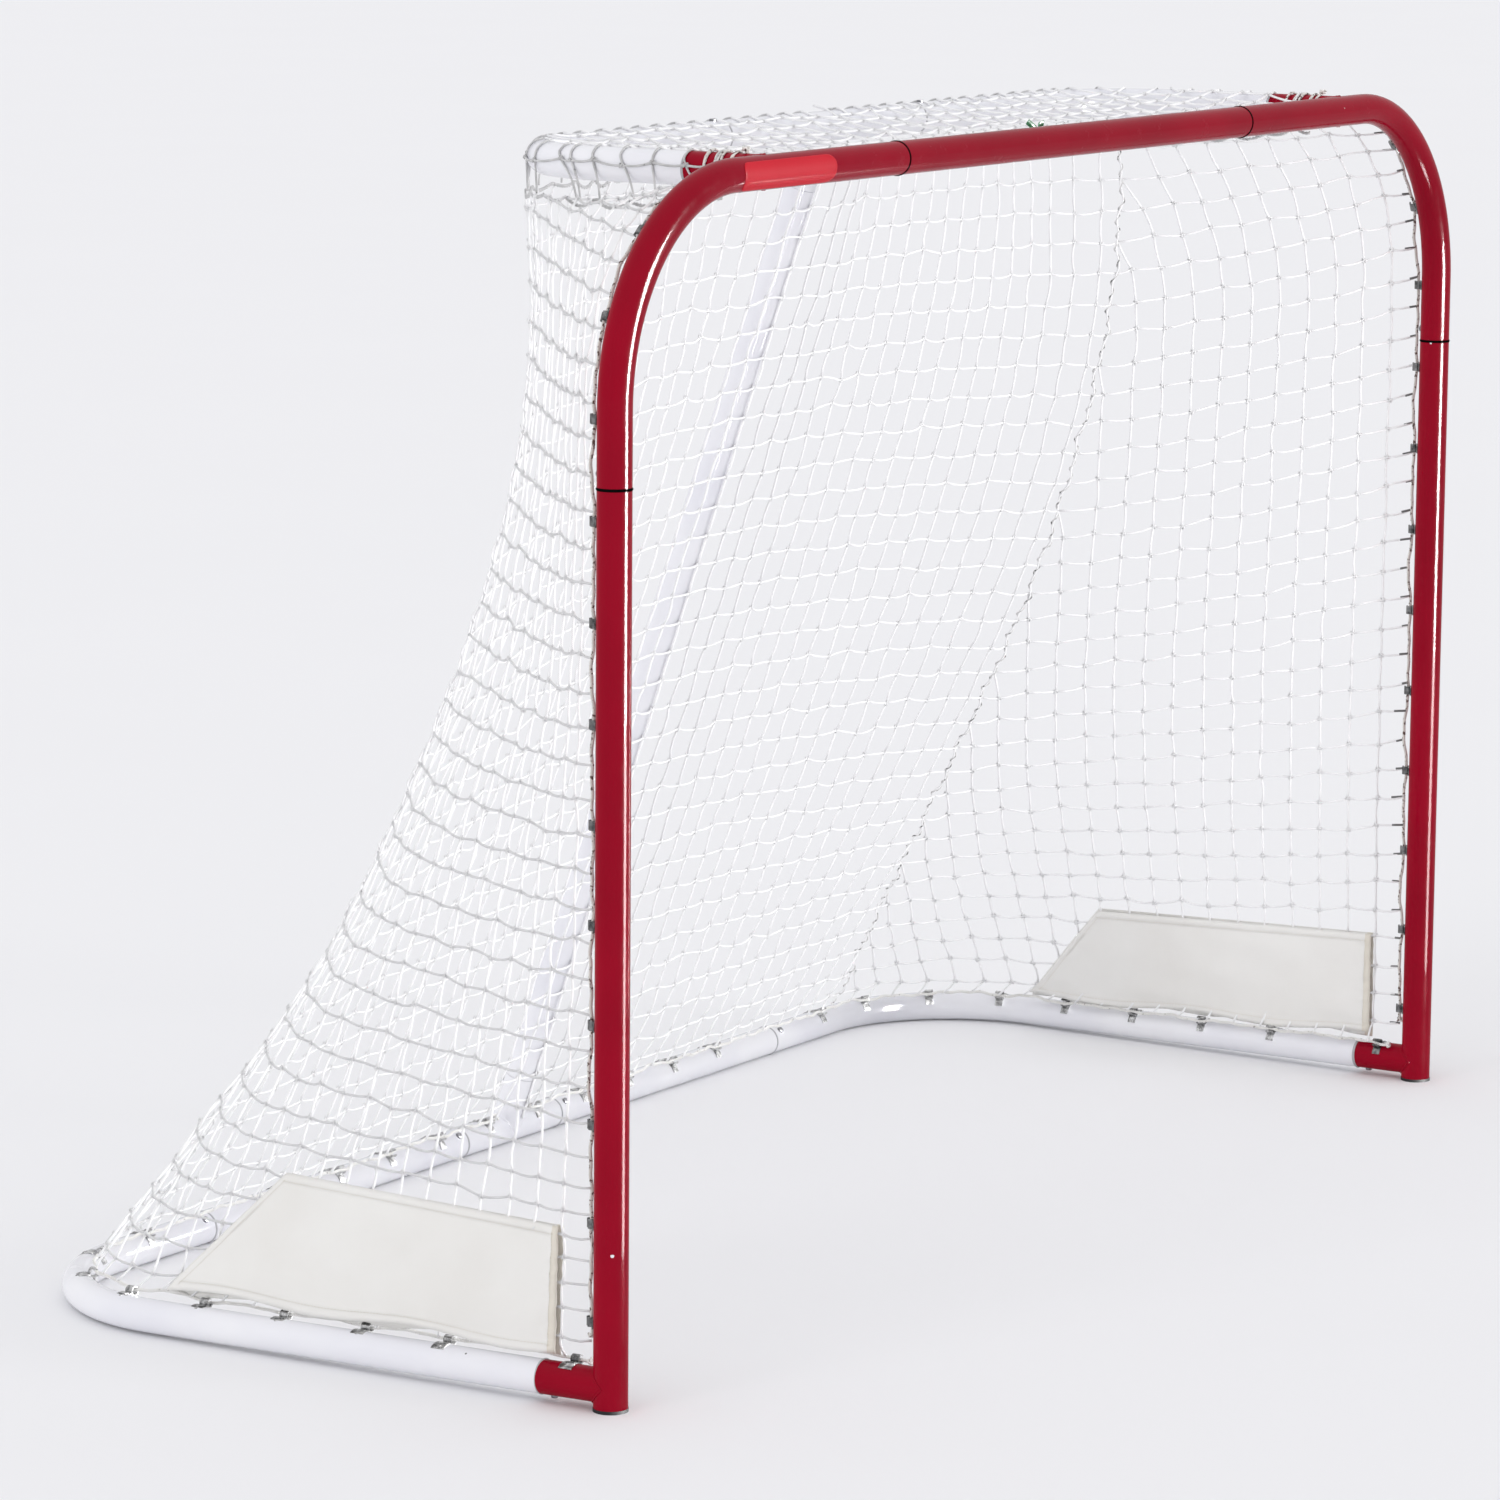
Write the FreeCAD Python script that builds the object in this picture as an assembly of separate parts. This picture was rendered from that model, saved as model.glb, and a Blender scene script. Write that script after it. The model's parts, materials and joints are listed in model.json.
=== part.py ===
"""Steel-tube hockey goal with a shelf, knotted net, laced edges and canvas skirts.

Millimetres. +Z is up, the mouth faces -Y and the origin lies on the floor under the
middle of the goal. The goal is symmetric about X = 0.
"""
import FreeCAD
import Part
import math
import os

V = FreeCAD.Vector
right = V(1, 0, 0)
back = V(0, 1, 0)
up = V(0, 0, 1)
down = V(0, 0, -1)

# Tubes, all cut from the same stock
tube_r = 18.0              # outside radius of every tube
tube_wall = 1.5
bore_r = tube_r - tube_wall
core_r = tube_r - tube_wall / 2

# Size of the mouth and of the whole goal
mouth_width = 1829.0       # 72 in between the insides of the posts
mouth_height = 1219.0      # 48 in from the floor to the underside of the crossbar
overall_depth = 799.0      # from the front of the posts to the back of the base
corner_radius = 220.0      # centre line of the two red bends
corner_leg = 77.0          # straight part of a top corner, below its bend
bar_joint_x = 392.0        # half the length of the centre crossbar piece

# White base, which slopes down from the stubs to lie on the floor at the back
base_rise = 25.0           # height of the base stub's centre line at the post
base_splay = 23.5          # how far each base side runs outwards, to the back corner
base_corner_radius = 188.0
base_stub_length = 80.0    # red stub, from the post's centre line
base_clip_on_stub = 48.0   # from the post's centre line to the clip on that stub
base_joint_x = 600.0       # joint between a base corner and the straight tube beside it
tee_half_length = 100.0    # half of the base piece that carries the pole

# White shelf under the top net
shelf_depth = 333.0
shelf_half_width = 654.0
shelf_corner_radius = 133.0
shelf_stub_length = 90.0   # red stub, from the crossbar's centre line
shelf_joint_x = 213.0      # half the length of the shelf's centre piece

# Slip joints: one end is drawn down and slides into the other
slip_length = 50.0
slip_gap = 0.15            # radial, between the drawn-down end and the bore
slip_shoulder = 8.0        # length of the step inside the full-size tube
joint_line = 0.6           # visible gap between the two tube ends
male_r = bore_r - slip_gap
male_bore_r = male_r - tube_wall

# Spring buttons that lock the slip joints
button_r = 4.0
button_clear = 0.2
button_proud = 2.5         # how far a button stands out of the tube
button_tip = 1.2           # rounding of its tip
button_set_back = 14.0     # from the joint face to the button
leaf_width = 8.0
leaf_thickness = 0.8
leaf_length = 34.0
leaf_head = 6.0            # leaf beyond the button
leaf_seat = 0.3            # between the leaf's edges and the bore

# Feet
foot_thickness = 3.5
foot_lip = 0.4             # how far the cap stands out past the tube
foot_plug = 15.0
foot_clear = 0.2

# Centre pole and its two stubs
pole_stub_length = 72.0    # along the pole, from the carrying tube's centre line

# Net clips, bent from strip
clip_width = 10.0
clip_thickness = 1.4
clip_hook_r = 4.0          # inside radius of the hook
clip_span = 38.0           # degrees that the saddle reaches each side
clip_hook_open = (10.0, 75.0)   # degrees left open for the cord
clip_seat = 0.15           # between a clip and its tube
clip_pitch = 102.0
clip_first_height = 90.0   # height of the lowest clip on a post
base_clip_first = 202.0    # from the post to the first clip on the white base
base_clip_lean = 35.0      # degrees from straight up, towards the inside

# Net
net_thickness = 3.0
net_cord = 6.0             # width of a strand in this coarse net
net_pitch = 88.0
net_edge_gap = 1.0         # between the net's edge and the clips
net_fold_gap = 0.45        # each side of a fold, between two flat fields
net_smallest = 0.14        # smallest opening, as a share of a full one
net_top_gap = 0.45         # between the net and the shelf tube
net_pole_gap = 0.6         # between the net and the pole that it goes round
shelf_hang = 55.0          # degrees in from straight down, where the back net meets the shelf
waist_height = 620.0       # height at which the slack net draws in most
waist_depth = 415.0        # its distance behind the mouth there
waist_half_width = 650.0
waist_bow = 0.27           # share of that draw-in which the back net has half-way from the pole
pole_net_low = 110.0       # height above which the back net lies in front of the pole
swell_height = 400.0       # a point where each side net swells out, and its distance behind the mouth
swell_depth = 232.0
swell_half_width = 871.0
side_band = 200.0          # height up to which the side net stands straight up from the base

# Lacing cord
lace_r = 1.5
lace_gap = 0.45            # between the cord and the net's edge
lace_short = 0.225         # share of its swing that the cord's rounding takes off at each turn

# Canvas skirts, one ply outside and one inside the net
skirt_thickness = 0.9
skirt_gap = 0.3
skirt_low = 27.0           # lower edge above the base tube's centre line
skirt_height = 131.0
skirt_front = 45.0         # behind the post's centre line
skirt_back_low = 560.0
skirt_back_high = 440.0

# Worked out from the sizes above
post_x = mouth_width / 2 + tube_r
bar_z = mouth_height + tube_r
post_joint_height = bar_z - corner_radius - corner_leg
front_y = -overall_depth / 2 + tube_r
rear_y = overall_depth / 2 - tube_r
frame_depth = rear_y - front_y
shelf_y = front_y + shelf_depth
base_tilt = math.degrees(math.asin((base_rise - tube_r) / frame_depth))
hook_centre = tube_r + clip_seat + clip_thickness + clip_hook_r
clip_reach = hook_centre + clip_hook_r + clip_thickness
net_edge = clip_reach + net_edge_gap

solids_of = {}


def put(node, shape):
    """Adds a shape's solids to a node."""
    solids_of.setdefault(node, []).extend(shape.Solids)


def mirrored(shape):
    return shape.mirror(V(0, 0, 0), V(1, 0, 0))


def mirrored_point(point):
    return V(-point.x, point.y, point.z)


def both_sides(name, shape):
    """A left-hand shape and its mirror image, as left_NAME and right_NAME."""
    put("left_" + name, shape)
    put("right_" + name, mirrored(shape))


def unit(vector):
    return V(vector).normalize()


def turned_to(shape, origin, x_axis, y_axis, z_axis):
    """Moves a shape from its own axes to three square ones at an origin."""
    matrix = FreeCAD.Matrix(x_axis.x, y_axis.x, z_axis.x, origin.x,
                            x_axis.y, y_axis.y, z_axis.y, origin.y,
                            x_axis.z, y_axis.z, z_axis.z, origin.z, 0, 0, 0, 1)
    shape.Placement = FreeCAD.Placement(matrix) * shape.Placement
    return shape


def rod(start, along, length, radius):
    return Part.makeCylinder(radius, length, start, unit(along))


def route(points, radius=None):
    """A wire of straight runs joined by tangent arcs.

    Without a radius each arc is as large as its two runs allow.
    """
    edges = []
    last = points[0]
    radii = []
    for i in range(1, len(points) - 1):
        before = unit(points[i] - points[i - 1])
        after = unit(points[i + 1] - points[i])
        turn = before.getAngle(after)
        run = min((points[i] - points[i - 1]).Length, (points[i + 1] - points[i]).Length)
        r = radius or 0.45 * run / math.tan(turn / 2)
        radii.append(r)
        reach = r * math.tan(turn / 2)
        begin = points[i] - before * reach
        end = points[i] + after * reach
        bend = r / math.cos(turn / 2) - r
        middle = points[i] + unit(after - before) * bend
        edges.append(Part.LineSegment(last, begin).toShape())
        edges.append(Part.Arc(begin, middle, end).toShape())
        last = end
    edges.append(Part.LineSegment(last, points[-1]).toShape())
    return Part.Wire(edges), radii


def swept(points, radius, section_r):
    """A round bar along a route."""
    wire, _ = route(points, radius)
    disc = Part.Face(Part.Wire(Part.makeCircle(section_r, points[0], points[1] - points[0])))
    return wire.makePipe(disc)


def bent_tube(points, radius):
    """A tube along a route, open at both ends."""
    return swept(points, radius, tube_r).cut(swept(points, radius, bore_r))


def male_end(face, along):
    """The drawn-down end of a tube: a step inside the tube, then the part that slides in."""
    along = unit(along)
    root = face - along * slip_shoulder
    step = rod(root, along, slip_shoulder, bore_r)
    slide = rod(root, along, slip_shoulder + slip_length, male_r)
    bore = rod(root - along, along, slip_shoulder + slip_length + 2, male_bore_r)
    return step.fuse(slide).cut(bore)


def button_hole(face, along, out):
    """The hole for a spring button, through one side of both tubes."""
    centre = face + unit(along) * button_set_back
    return rod(centre, out, tube_r * 1.5, button_r + button_clear)


def spring_button(face, along, out):
    """A pressed-in button on its leaf spring, which lies along the inside of the tube."""
    along = unit(along)
    out = unit(out)
    across = along.cross(out)
    centre = face + along * button_set_back
    half = leaf_width / 2
    top = math.sqrt(male_bore_r ** 2 - half ** 2) - leaf_seat
    base = centre + out * (top - leaf_thickness) + across * half - along * (leaf_length - leaf_head)
    leaf = Part.makeBox(leaf_length, leaf_width, leaf_thickness)
    leaf = turned_to(leaf, base, along, -across, out)
    stem_from = top - leaf_thickness / 2
    stem = rod(centre + out * stem_from, out, tube_r + button_proud - stem_from, button_r)
    tip = centre + out * (tube_r + button_proud)
    rims = [e for e in stem.Edges if e.Length > button_r and (e.CenterOfMass - tip).Length < 0.5]
    return leaf.fuse(stem.makeFillet(button_tip, rims[:1])).removeSplitter()


def clip(centre, along, out):
    """A net clip: a saddle that hugs the tube and a hook that stands off it."""
    def band(middle, inner_r, outer_r, start, sweep):
        outer = Part.makeCylinder(outer_r, clip_width, V(middle, 0, 0), V(0, 0, 1), sweep)
        inner = Part.makeCylinder(inner_r, clip_width, V(middle, 0, 0), V(0, 0, 1), 360)
        ring = outer.cut(inner)
        ring.rotate(V(middle, 0, 0), V(0, 0, 1), start)
        return ring
    saddle_r = tube_r + clip_seat
    saddle = band(0, saddle_r, saddle_r + clip_thickness, -clip_span, 2 * clip_span)
    low, high = clip_hook_open
    hook = band(hook_centre, clip_hook_r, clip_hook_r + clip_thickness, high, 360 - (high - low))
    shape = saddle.fuse(hook).removeSplitter()
    shape.translate(V(0, 0, -clip_width / 2))
    along = unit(along)
    out = unit(out)
    return turned_to(shape, centre, out, along.cross(out), along)


def lay_base(shape):
    """Turns a base piece, drawn level with the stubs, down to the floor at the back."""
    turned = shape.copy()
    turned.rotate(V(0, front_y, base_rise), V(1, 0, 0), -base_tilt)
    return turned


def laid(point):
    """Where lay_base puts a point."""
    drop = math.radians(base_tilt)
    y, z = point.y - front_y, point.z - base_rise
    return V(point.x, front_y + y * math.cos(drop) + z * math.sin(drop),
             base_rise - y * math.sin(drop) + z * math.cos(drop))


def convex_clip(polygon, low_u, low_v, high_u, high_v):
    """Cuts a convex polygon down to a rectangle."""
    for axis, limit, keep in ((0, low_u, 1), (0, high_u, -1), (1, low_v, 1), (1, high_v, -1)):
        kept = []
        for i, point in enumerate(polygon):
            before = polygon[i - 1]
            inside = (point[axis] - limit) * keep >= 0
            was_inside = (before[axis] - limit) * keep >= 0
            if inside != was_inside:
                share = (limit - before[axis]) / (point[axis] - before[axis])
                kept.append((before[0] + share * (point[0] - before[0]),
                             before[1] + share * (point[1] - before[1])))
            if inside:
                kept.append(point)
        polygon = kept
        if not polygon:
            return []
    return polygon


def shrunk(polygon, distance):
    """Moves every side of a convex polygon, given anticlockwise, inwards."""
    lines = []
    for i, point in enumerate(polygon):
        after = polygon[(i + 1) % len(polygon)]
        length = math.hypot(after[0] - point[0], after[1] - point[1])
        normal = (-(after[1] - point[1]) / length, (after[0] - point[0]) / length)
        lines.append((normal, normal[0] * point[0] + normal[1] * point[1] + distance))
    corners = []
    for i, (n2, d2) in enumerate(lines):
        n1, d1 = lines[i - 1]
        det = n1[0] * n2[1] - n1[1] * n2[0]
        corners.append(((d1 * n2[1] - d2 * n1[1]) / det, (n1[0] * d2 - n2[0] * d1) / det))
    return corners


def area_of(polygon):
    total = 0.0
    for i, (x, y) in enumerate(polygon):
        total += polygon[i - 1][0] * y - x * polygon[i - 1][1]
    return total / 2


def without_short_sides(polygon):
    """Drops corners that lie almost on the one before."""
    kept = []
    for i, point in enumerate(polygon):
        before = polygon[i - 1]
        if math.hypot(point[0] - before[0], point[1] - before[1]) > 1.0:
            kept.append(point)
    return kept


def net_field(corners):
    """One flat field of net: a holed face with a hem of one strand all round."""
    origin = corners[0]
    normal = unit((corners[1] - origin).cross(corners[-1] - origin))
    level = V(0, 0, 1).cross(normal)
    u = unit(level) if level.Length > 0.01 else V(1, 0, 0)
    v = normal.cross(u)
    flat = [((c - origin).dot(u), (c - origin).dot(v)) for c in corners]
    outline = shrunk(flat, net_fold_gap)
    inside = shrunk(outline, net_cord)
    low_u = min(p[0] for p in inside)
    low_v = min(p[1] for p in inside)
    columns = int((max(p[0] for p in inside) - low_u) / net_pitch) + 1
    rows = int((max(p[1] for p in inside) - low_v) / net_pitch) + 1

    def wire(polygon):
        points = [origin + u * p[0] + v * p[1] for p in polygon]
        return Part.makePolygon(points + points[:1])

    opening = net_pitch - net_cord
    holes = []
    for column in range(columns):
        for row in range(rows):
            cell_u = low_u + column * net_pitch
            cell_v = low_v + row * net_pitch
            hole = convex_clip(inside, cell_u, cell_v, cell_u + opening, cell_v + opening)
            hole = without_short_sides(hole)
            if len(hole) > 2 and area_of(hole) > net_smallest * opening ** 2:
                holes.append(wire(hole))
    face = Part.makeFace([wire(outline)] + holes, "Part::FaceMakerBullseye")
    face.translate(normal * (-net_thickness / 2))
    return face.extrude(normal * net_thickness), len(holes)


def net_fields(name, fields):
    """Several flat fields of net. Prints how many openings they have."""
    made = [net_field(corners) for corners in fields]
    print(name, "openings", sum(count for _, count in made))
    return Part.Compound([shape for shape, _ in made])


def at_height(start, end, height):
    """The point of a line through two others at a height."""
    return start + (end - start) * ((height - start.z) / (end.z - start.z))


def flip(points):
    """The mirror images of points, in the opposite order."""
    return [V(-p.x, p.y, p.z) for p in reversed(points)]


def along_wire(wire, distance):
    """The point and the direction at a distance along a wire."""
    left = distance
    for edge in wire.OrderedEdges:
        if left <= edge.Length:
            break
        left -= edge.Length
    at = edge.getParameterByLength(left)
    return edge.valueAt(at), unit(edge.tangentAt(at))


def off_tube(wire, distance, outs):
    """A point on a tube's centre line, its direction and the way off the tube there."""
    point, tangent = along_wire(wire, distance)
    out = outs(tangent)
    return point, tangent, unit(out - tangent * out.dot(tangent))


def clip_row(wire, distances, outs):
    """Clips at distances along a tube's centre line."""
    return Part.Compound([clip(*off_tube(wire, distance, outs)) for distance in distances])


def laced(name, wire, distances, outs):
    """A lacing cord through the clips at those distances, drawn out to the net's edge between them."""
    near = hook_centre
    far = near + (net_edge - lace_gap - lace_r - near) / (1 - lace_short)
    stops = [(distance, near) for distance in distances]
    stops += [((a + b) / 2, far) for a, b in zip(distances, distances[1:])]
    points = []
    for distance, reach in sorted(stops):
        point, _, out = off_tube(wire, distance, outs)
        points.append(point + out * reach)
    path, radii = route(points)
    disc = Part.Face(Part.Wire(Part.makeCircle(lace_r, points[0], points[1] - points[0])))
    cord = path.makePipe(disc)
    should = math.pi * lace_r ** 2 * path.Length
    print(name, "length", round(path.Length), "smallest radius", round(min(radii), 1),
          "volume share", round(cord.Volume / should, 4))
    return cord


def steps(first, last, pitch):
    count = int((last - first) / pitch + 1e-6) + 1
    return [first + i * pitch for i in range(count)]


def slip_joint(male, female, face, along, out):
    """Draws the male tube's end down and pins both tubes with a spring button."""
    hole = button_hole(face, along, out)
    return male.fuse(male_end(face, along)).cut(hole), female.cut(hole), spring_button(face, along, out)


def both_ends_drawn_down(tube, face, out):
    """The same for both ends of a level tube whose middle is at X = 0, given its left-hand face."""
    end = male_end(face, -right)
    hole = button_hole(face, -right, out)
    return tube.fuse(end).fuse(mirrored(end)).cut(hole).cut(mirrored(hole))


def stub_on(carrier, carrier_core, start, along, length):
    """Welds a short open tube to a carrier, cut to end in the middle of its wall."""
    stub = rod(start, along, length, tube_r).cut(rod(start, along, length + 1, bore_r))
    return carrier.fuse(stub.cut(carrier_core))


def straight_tube(start, end):
    along = end - start
    return rod(start, along, along.Length, tube_r).cut(
        rod(start - unit(along), along, along.Length + 2, bore_r))


# Red front frame, left-hand side
post_foot = V(-post_x, front_y, foot_thickness)
post_end = V(-post_x, front_y, post_joint_height)
lower_post = straight_tube(post_foot, post_end)
post_core = rod(post_foot, up, post_end.z - post_foot.z, core_r)
stub_root = V(-post_x, front_y, base_rise)
side_along = unit(V(-base_splay, frame_depth, 0))
stub_end = stub_root + side_along * base_stub_length
lower_post = stub_on(lower_post, post_core, stub_root, laid(stub_end) - stub_root, base_stub_length)

corner_points = [post_end + up * joint_line, V(-post_x, front_y, bar_z),
                 V(-bar_joint_x - joint_line, front_y, bar_z)]
top_corner = bent_tube(corner_points, corner_radius)
corner_core = swept(corner_points, corner_radius, core_r)
shelf_root = V(-shelf_half_width, front_y, bar_z)
shelf_stub_end = shelf_root + back * shelf_stub_length
top_corner = stub_on(top_corner, corner_core, shelf_root, back, shelf_stub_length)
lower_post, top_corner, post_button = slip_joint(lower_post, top_corner, post_end, up, back)

bar_face = V(-bar_joint_x, front_y, bar_z)
crossbar = both_ends_drawn_down(straight_tube(bar_face, mirrored_point(bar_face)), bar_face, back)
top_corner = top_corner.cut(button_hole(bar_face, -right, back))
bar_button = spring_button(bar_face, -right, back)

# White base, drawn level with the stubs and then laid down
base_start = stub_end + side_along * joint_line
base_turn = V(-post_x - base_splay, rear_y, base_rise)
base_face = V(-base_joint_x, rear_y, base_rise)
tee_face = V(-tee_half_length, rear_y, base_rise)
high_inside = unit(up - back)
base_corner = bent_tube([base_start, base_turn, base_face - right * joint_line], base_corner_radius)
stub_hole = button_hole(base_start, -side_along, down)
lower_post = lower_post.cut(lay_base(stub_hole))
base_corner = base_corner.fuse(male_end(base_start, -side_along)).cut(stub_hole)
side_button = spring_button(base_start, -side_along, down)
base_rear = straight_tube(base_face, tee_face - right * joint_line)
base_rear, base_corner, rear_button = slip_joint(base_rear, base_corner, base_face, -right, high_inside)
base_rear = base_rear.cut(button_hole(tee_face, -right, high_inside))
tee_button = spring_button(tee_face, -right, high_inside)
base_tee = both_ends_drawn_down(straight_tube(tee_face, mirrored_point(tee_face)), tee_face, high_inside)
base_tee = lay_base(base_tee)

# White shelf
shelf_start = shelf_stub_end + back * joint_line
shelf_face = V(-shelf_joint_x, shelf_y, bar_z)
shelf_points = [shelf_start, V(-shelf_half_width, shelf_y, bar_z), shelf_face - right * joint_line]
shelf_corner = bent_tube(shelf_points, shelf_corner_radius)
low_inside = unit(right + down)
shelf_corner, top_corner, shelf_button = slip_joint(shelf_corner, top_corner, shelf_start, -back, low_inside)
shelf_centre = both_ends_drawn_down(straight_tube(shelf_face, mirrored_point(shelf_face)), shelf_face, up)
shelf_corner = shelf_corner.cut(button_hole(shelf_face, -right, up))
shelf_rear_button = spring_button(shelf_face, -right, up)

# Centre pole between the base and the shelf
pole_foot = laid(V(0, rear_y, base_rise))
pole_head = V(0, shelf_y, bar_z)
pole_up = unit(pole_head - pole_foot)
pole_back = V(0, pole_up.z, -pole_up.y)
base_core = rod(pole_foot - right * tube_r * 2, right, tube_r * 4, core_r)
shelf_core = rod(pole_head - right * tube_r * 2, right, tube_r * 4, core_r)
base_tee = stub_on(base_tee, base_core, pole_foot, pole_up, pole_stub_length)
shelf_centre = stub_on(shelf_centre, shelf_core, pole_head, -pole_up, pole_stub_length)
pole_low = pole_foot + pole_up * (pole_stub_length + joint_line)
pole_high = pole_head - pole_up * (pole_stub_length + joint_line)
pole = straight_tube(pole_low, pole_high)
pole, base_tee, pole_low_button = slip_joint(pole, base_tee, pole_low, -pole_up, pole_back)
pole, shelf_centre, pole_high_button = slip_joint(pole, shelf_centre, pole_high, pole_up, pole_back)

# Black caps under the posts
cap = rod(V(-post_x, front_y, 0), up, foot_thickness, tube_r + foot_lip)
cap = cap.fuse(rod(V(-post_x, front_y, 0), up, foot_thickness + foot_plug, bore_r - foot_clear))

both_sides("lower_post", lower_post)
both_sides("foot_cap", cap.removeSplitter())
both_sides("top_corner", top_corner)
put("crossbar_centre", crossbar)
both_sides("base_corner", lay_base(base_corner))
both_sides("base_rear", lay_base(base_rear))
put("base_centre", base_tee)
both_sides("shelf_corner", shelf_corner)
put("shelf_centre", shelf_centre)
put("centre_pole", pole)
both_sides("post_button", post_button)
both_sides("crossbar_button", bar_button)
both_sides("base_side_button", lay_base(side_button))
both_sides("base_rear_button", lay_base(rear_button))
both_sides("base_centre_button", lay_base(tee_button))
both_sides("shelf_side_button", shelf_button)
both_sides("shelf_rear_button", shelf_rear_button)
put("pole_foot_button", pole_low_button)
put("pole_head_button", pole_high_button)

# Net clips and lacing on the red frame
post_wire, _ = route([V(-post_x, front_y, 0), V(-post_x, front_y, bar_z), V(0, front_y, bar_z)],
                     corner_radius)
to_shelf = post_wire.Length - shelf_half_width - tube_r - clip_width
frame_steps = steps(clip_first_height, to_shelf, clip_pitch)
past_joint = button_set_back + 2 * clip_width
post_steps = [s for s in frame_steps if s < post_joint_height - clip_width]
bend_steps = [s for s in frame_steps if s > post_joint_height + past_joint]
both_sides("corner_clips", clip_row(post_wire, bend_steps, lambda tangent: back))
both_sides("post_lace", laced("post_lace", post_wire, post_steps + bend_steps, lambda tangent: back))

half_bar = shelf_half_width - tube_r - clip_width
bar_wire = Part.Wire(Part.LineSegment(V(-half_bar, front_y, bar_z), V(half_bar, front_y, bar_z)).toShape())
bar_side = int(half_bar / clip_pitch)
bar_places = [i * clip_pitch for i in range(-bar_side, bar_side + 1)]
bar_steps = [half_bar + x for x in bar_places
             if not bar_joint_x - clip_width < abs(x) < bar_joint_x + past_joint]
put("crossbar_clips", clip_row(bar_wire, bar_steps, lambda tangent: back))
put("crossbar_lace", laced("crossbar_lace", bar_wire, bar_steps, lambda tangent: back))


def base_out(tangent):
    """Up and towards the inside of the base, for a wire that runs from left to right."""
    lean = math.radians(base_clip_lean)
    inside = unit(tangent.cross(up))
    return unit(inside * math.sin(lean) + up * math.cos(lean))


# Net clips and lacing on the base, from the left post round to the pole
level_wire, _ = route([stub_root, base_turn, V(0, rear_y, base_rise)], base_corner_radius)
base_wire = lay_base(level_wire)
side_steps = steps(base_clip_first, base_wire.Length - base_joint_x - past_joint, clip_pitch)
rear_count = int((base_joint_x - clip_width) / clip_pitch)
rear_steps = [base_wire.Length - (i + 0.5) * clip_pitch for i in reversed(range(rear_count))]
stub_clip = clip_row(base_wire, [base_clip_on_stub], base_out)
both_sides("post_clips", Part.Compound([clip_row(post_wire, post_steps, lambda tangent: back), stub_clip]))
both_sides("base_clips", clip_row(base_wire, side_steps, base_out))
rear_clips = clip_row(base_wire, rear_steps, base_out)
put("rear_clips", rear_clips)
put("rear_clips", mirrored(rear_clips))
base_steps = [base_clip_on_stub] + side_steps + rear_steps
both_sides("base_lace", laced("base_lace", base_wire, base_steps, base_out))

# Net: corners of its flat fields, left-hand side
edge_side = base_wire.OrderedEdges[0]
edge_rear = base_wire.OrderedEdges[2]
side_tangent = unit(edge_side.tangentAt(edge_side.FirstParameter))
rear_tangent = unit(edge_rear.tangentAt(edge_rear.FirstParameter))
net_y = front_y + net_edge
net_seat = net_thickness / 2 + net_top_gap
foot_corner = stub_root + side_tangent * net_edge + base_out(side_tangent) * net_edge
side_end = edge_side.valueAt(edge_side.LastParameter) + base_out(side_tangent) * net_edge
rear_start = edge_rear.valueAt(edge_rear.FirstParameter) + base_out(rear_tangent) * net_edge
post_waist = V(-post_x, net_y, waist_height)
waist = V(-waist_half_width, front_y + waist_depth, waist_height)
bend_foot = V(-post_x, net_y, bar_z - corner_radius)
bend_share = corner_radius * (1 - math.cos(math.radians(45)))
bend_middle = V(-post_x + bend_share, net_y, bar_z - bend_share)
shelf_low = bar_z - tube_r - net_seat
shelf_front = V(-shelf_half_width, net_y, shelf_low)
shelf_side = V(-shelf_half_width, shelf_y - shelf_corner_radius, shelf_low)
hang = math.radians(shelf_hang)
hang_r = tube_r + net_seat
shelf_back = V(-shelf_half_width + shelf_corner_radius, shelf_y - hang_r * math.sin(hang),
               bar_z - hang_r * math.cos(hang))

post_band = at_height(foot_corner, post_waist, side_band)
base_band = at_height(side_end, post_waist, side_band)
swell = V(-swell_half_width, front_y + swell_depth, swell_height)

side_fields = [
    [foot_corner, side_end, base_band, post_band],
    [post_band, base_band, swell],
    [post_band, swell, post_waist],
    [swell, waist, post_waist],
    [base_band, waist, swell],
    [base_band, side_end, waist],
    [post_waist, waist, shelf_side],
    [post_waist, shelf_side, bend_foot],
    [bend_foot, shelf_side, bend_middle],
    [bend_middle, shelf_side, shelf_front],
]
corner_fields = [[side_end, rear_start, waist], [waist, shelf_back, shelf_side]]
both_sides("side_net", net_fields("side net", side_fields))
back_corner = net_fields("back net, one corner", corner_fields)

# The back net's middle line lies in front of the pole, and a line half-way to the seam follows it
pole_front = pole_back * -(tube_r + net_pole_gap + net_thickness / 2)
middle_foot = V(0, rear_start.y, rear_start.z)
middle_low = at_height(pole_foot, pole_head, pole_net_low) + pole_front
middle_waist = at_height(pole_foot, pole_head, waist_height) + pole_front
middle_top = V(0, shelf_back.y, shelf_back.z)
half_foot = (middle_foot + rear_start) / 2
half_waist = V(waist.x / 2, middle_waist.y + (waist.y - middle_waist.y) * waist_bow, waist_height)
half_top = (middle_top + shelf_back) / 2
back_fields = [
    [middle_foot, middle_low, half_foot],
    [middle_low, middle_waist, half_foot],
    [middle_waist, half_waist, half_foot],
    [half_foot, half_waist, rear_start],
    [half_waist, waist, rear_start],
    [middle_waist, middle_top, half_top],
    [middle_waist, half_top, half_waist],
    [half_waist, half_top, shelf_back],
    [half_waist, shelf_back, waist],
]
pole_room = rod(pole_foot, pole_up, (pole_head - pole_foot).Length, tube_r + net_pole_gap)
back_half = net_fields("back net, one half", back_fields).cut(pole_room)
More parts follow.
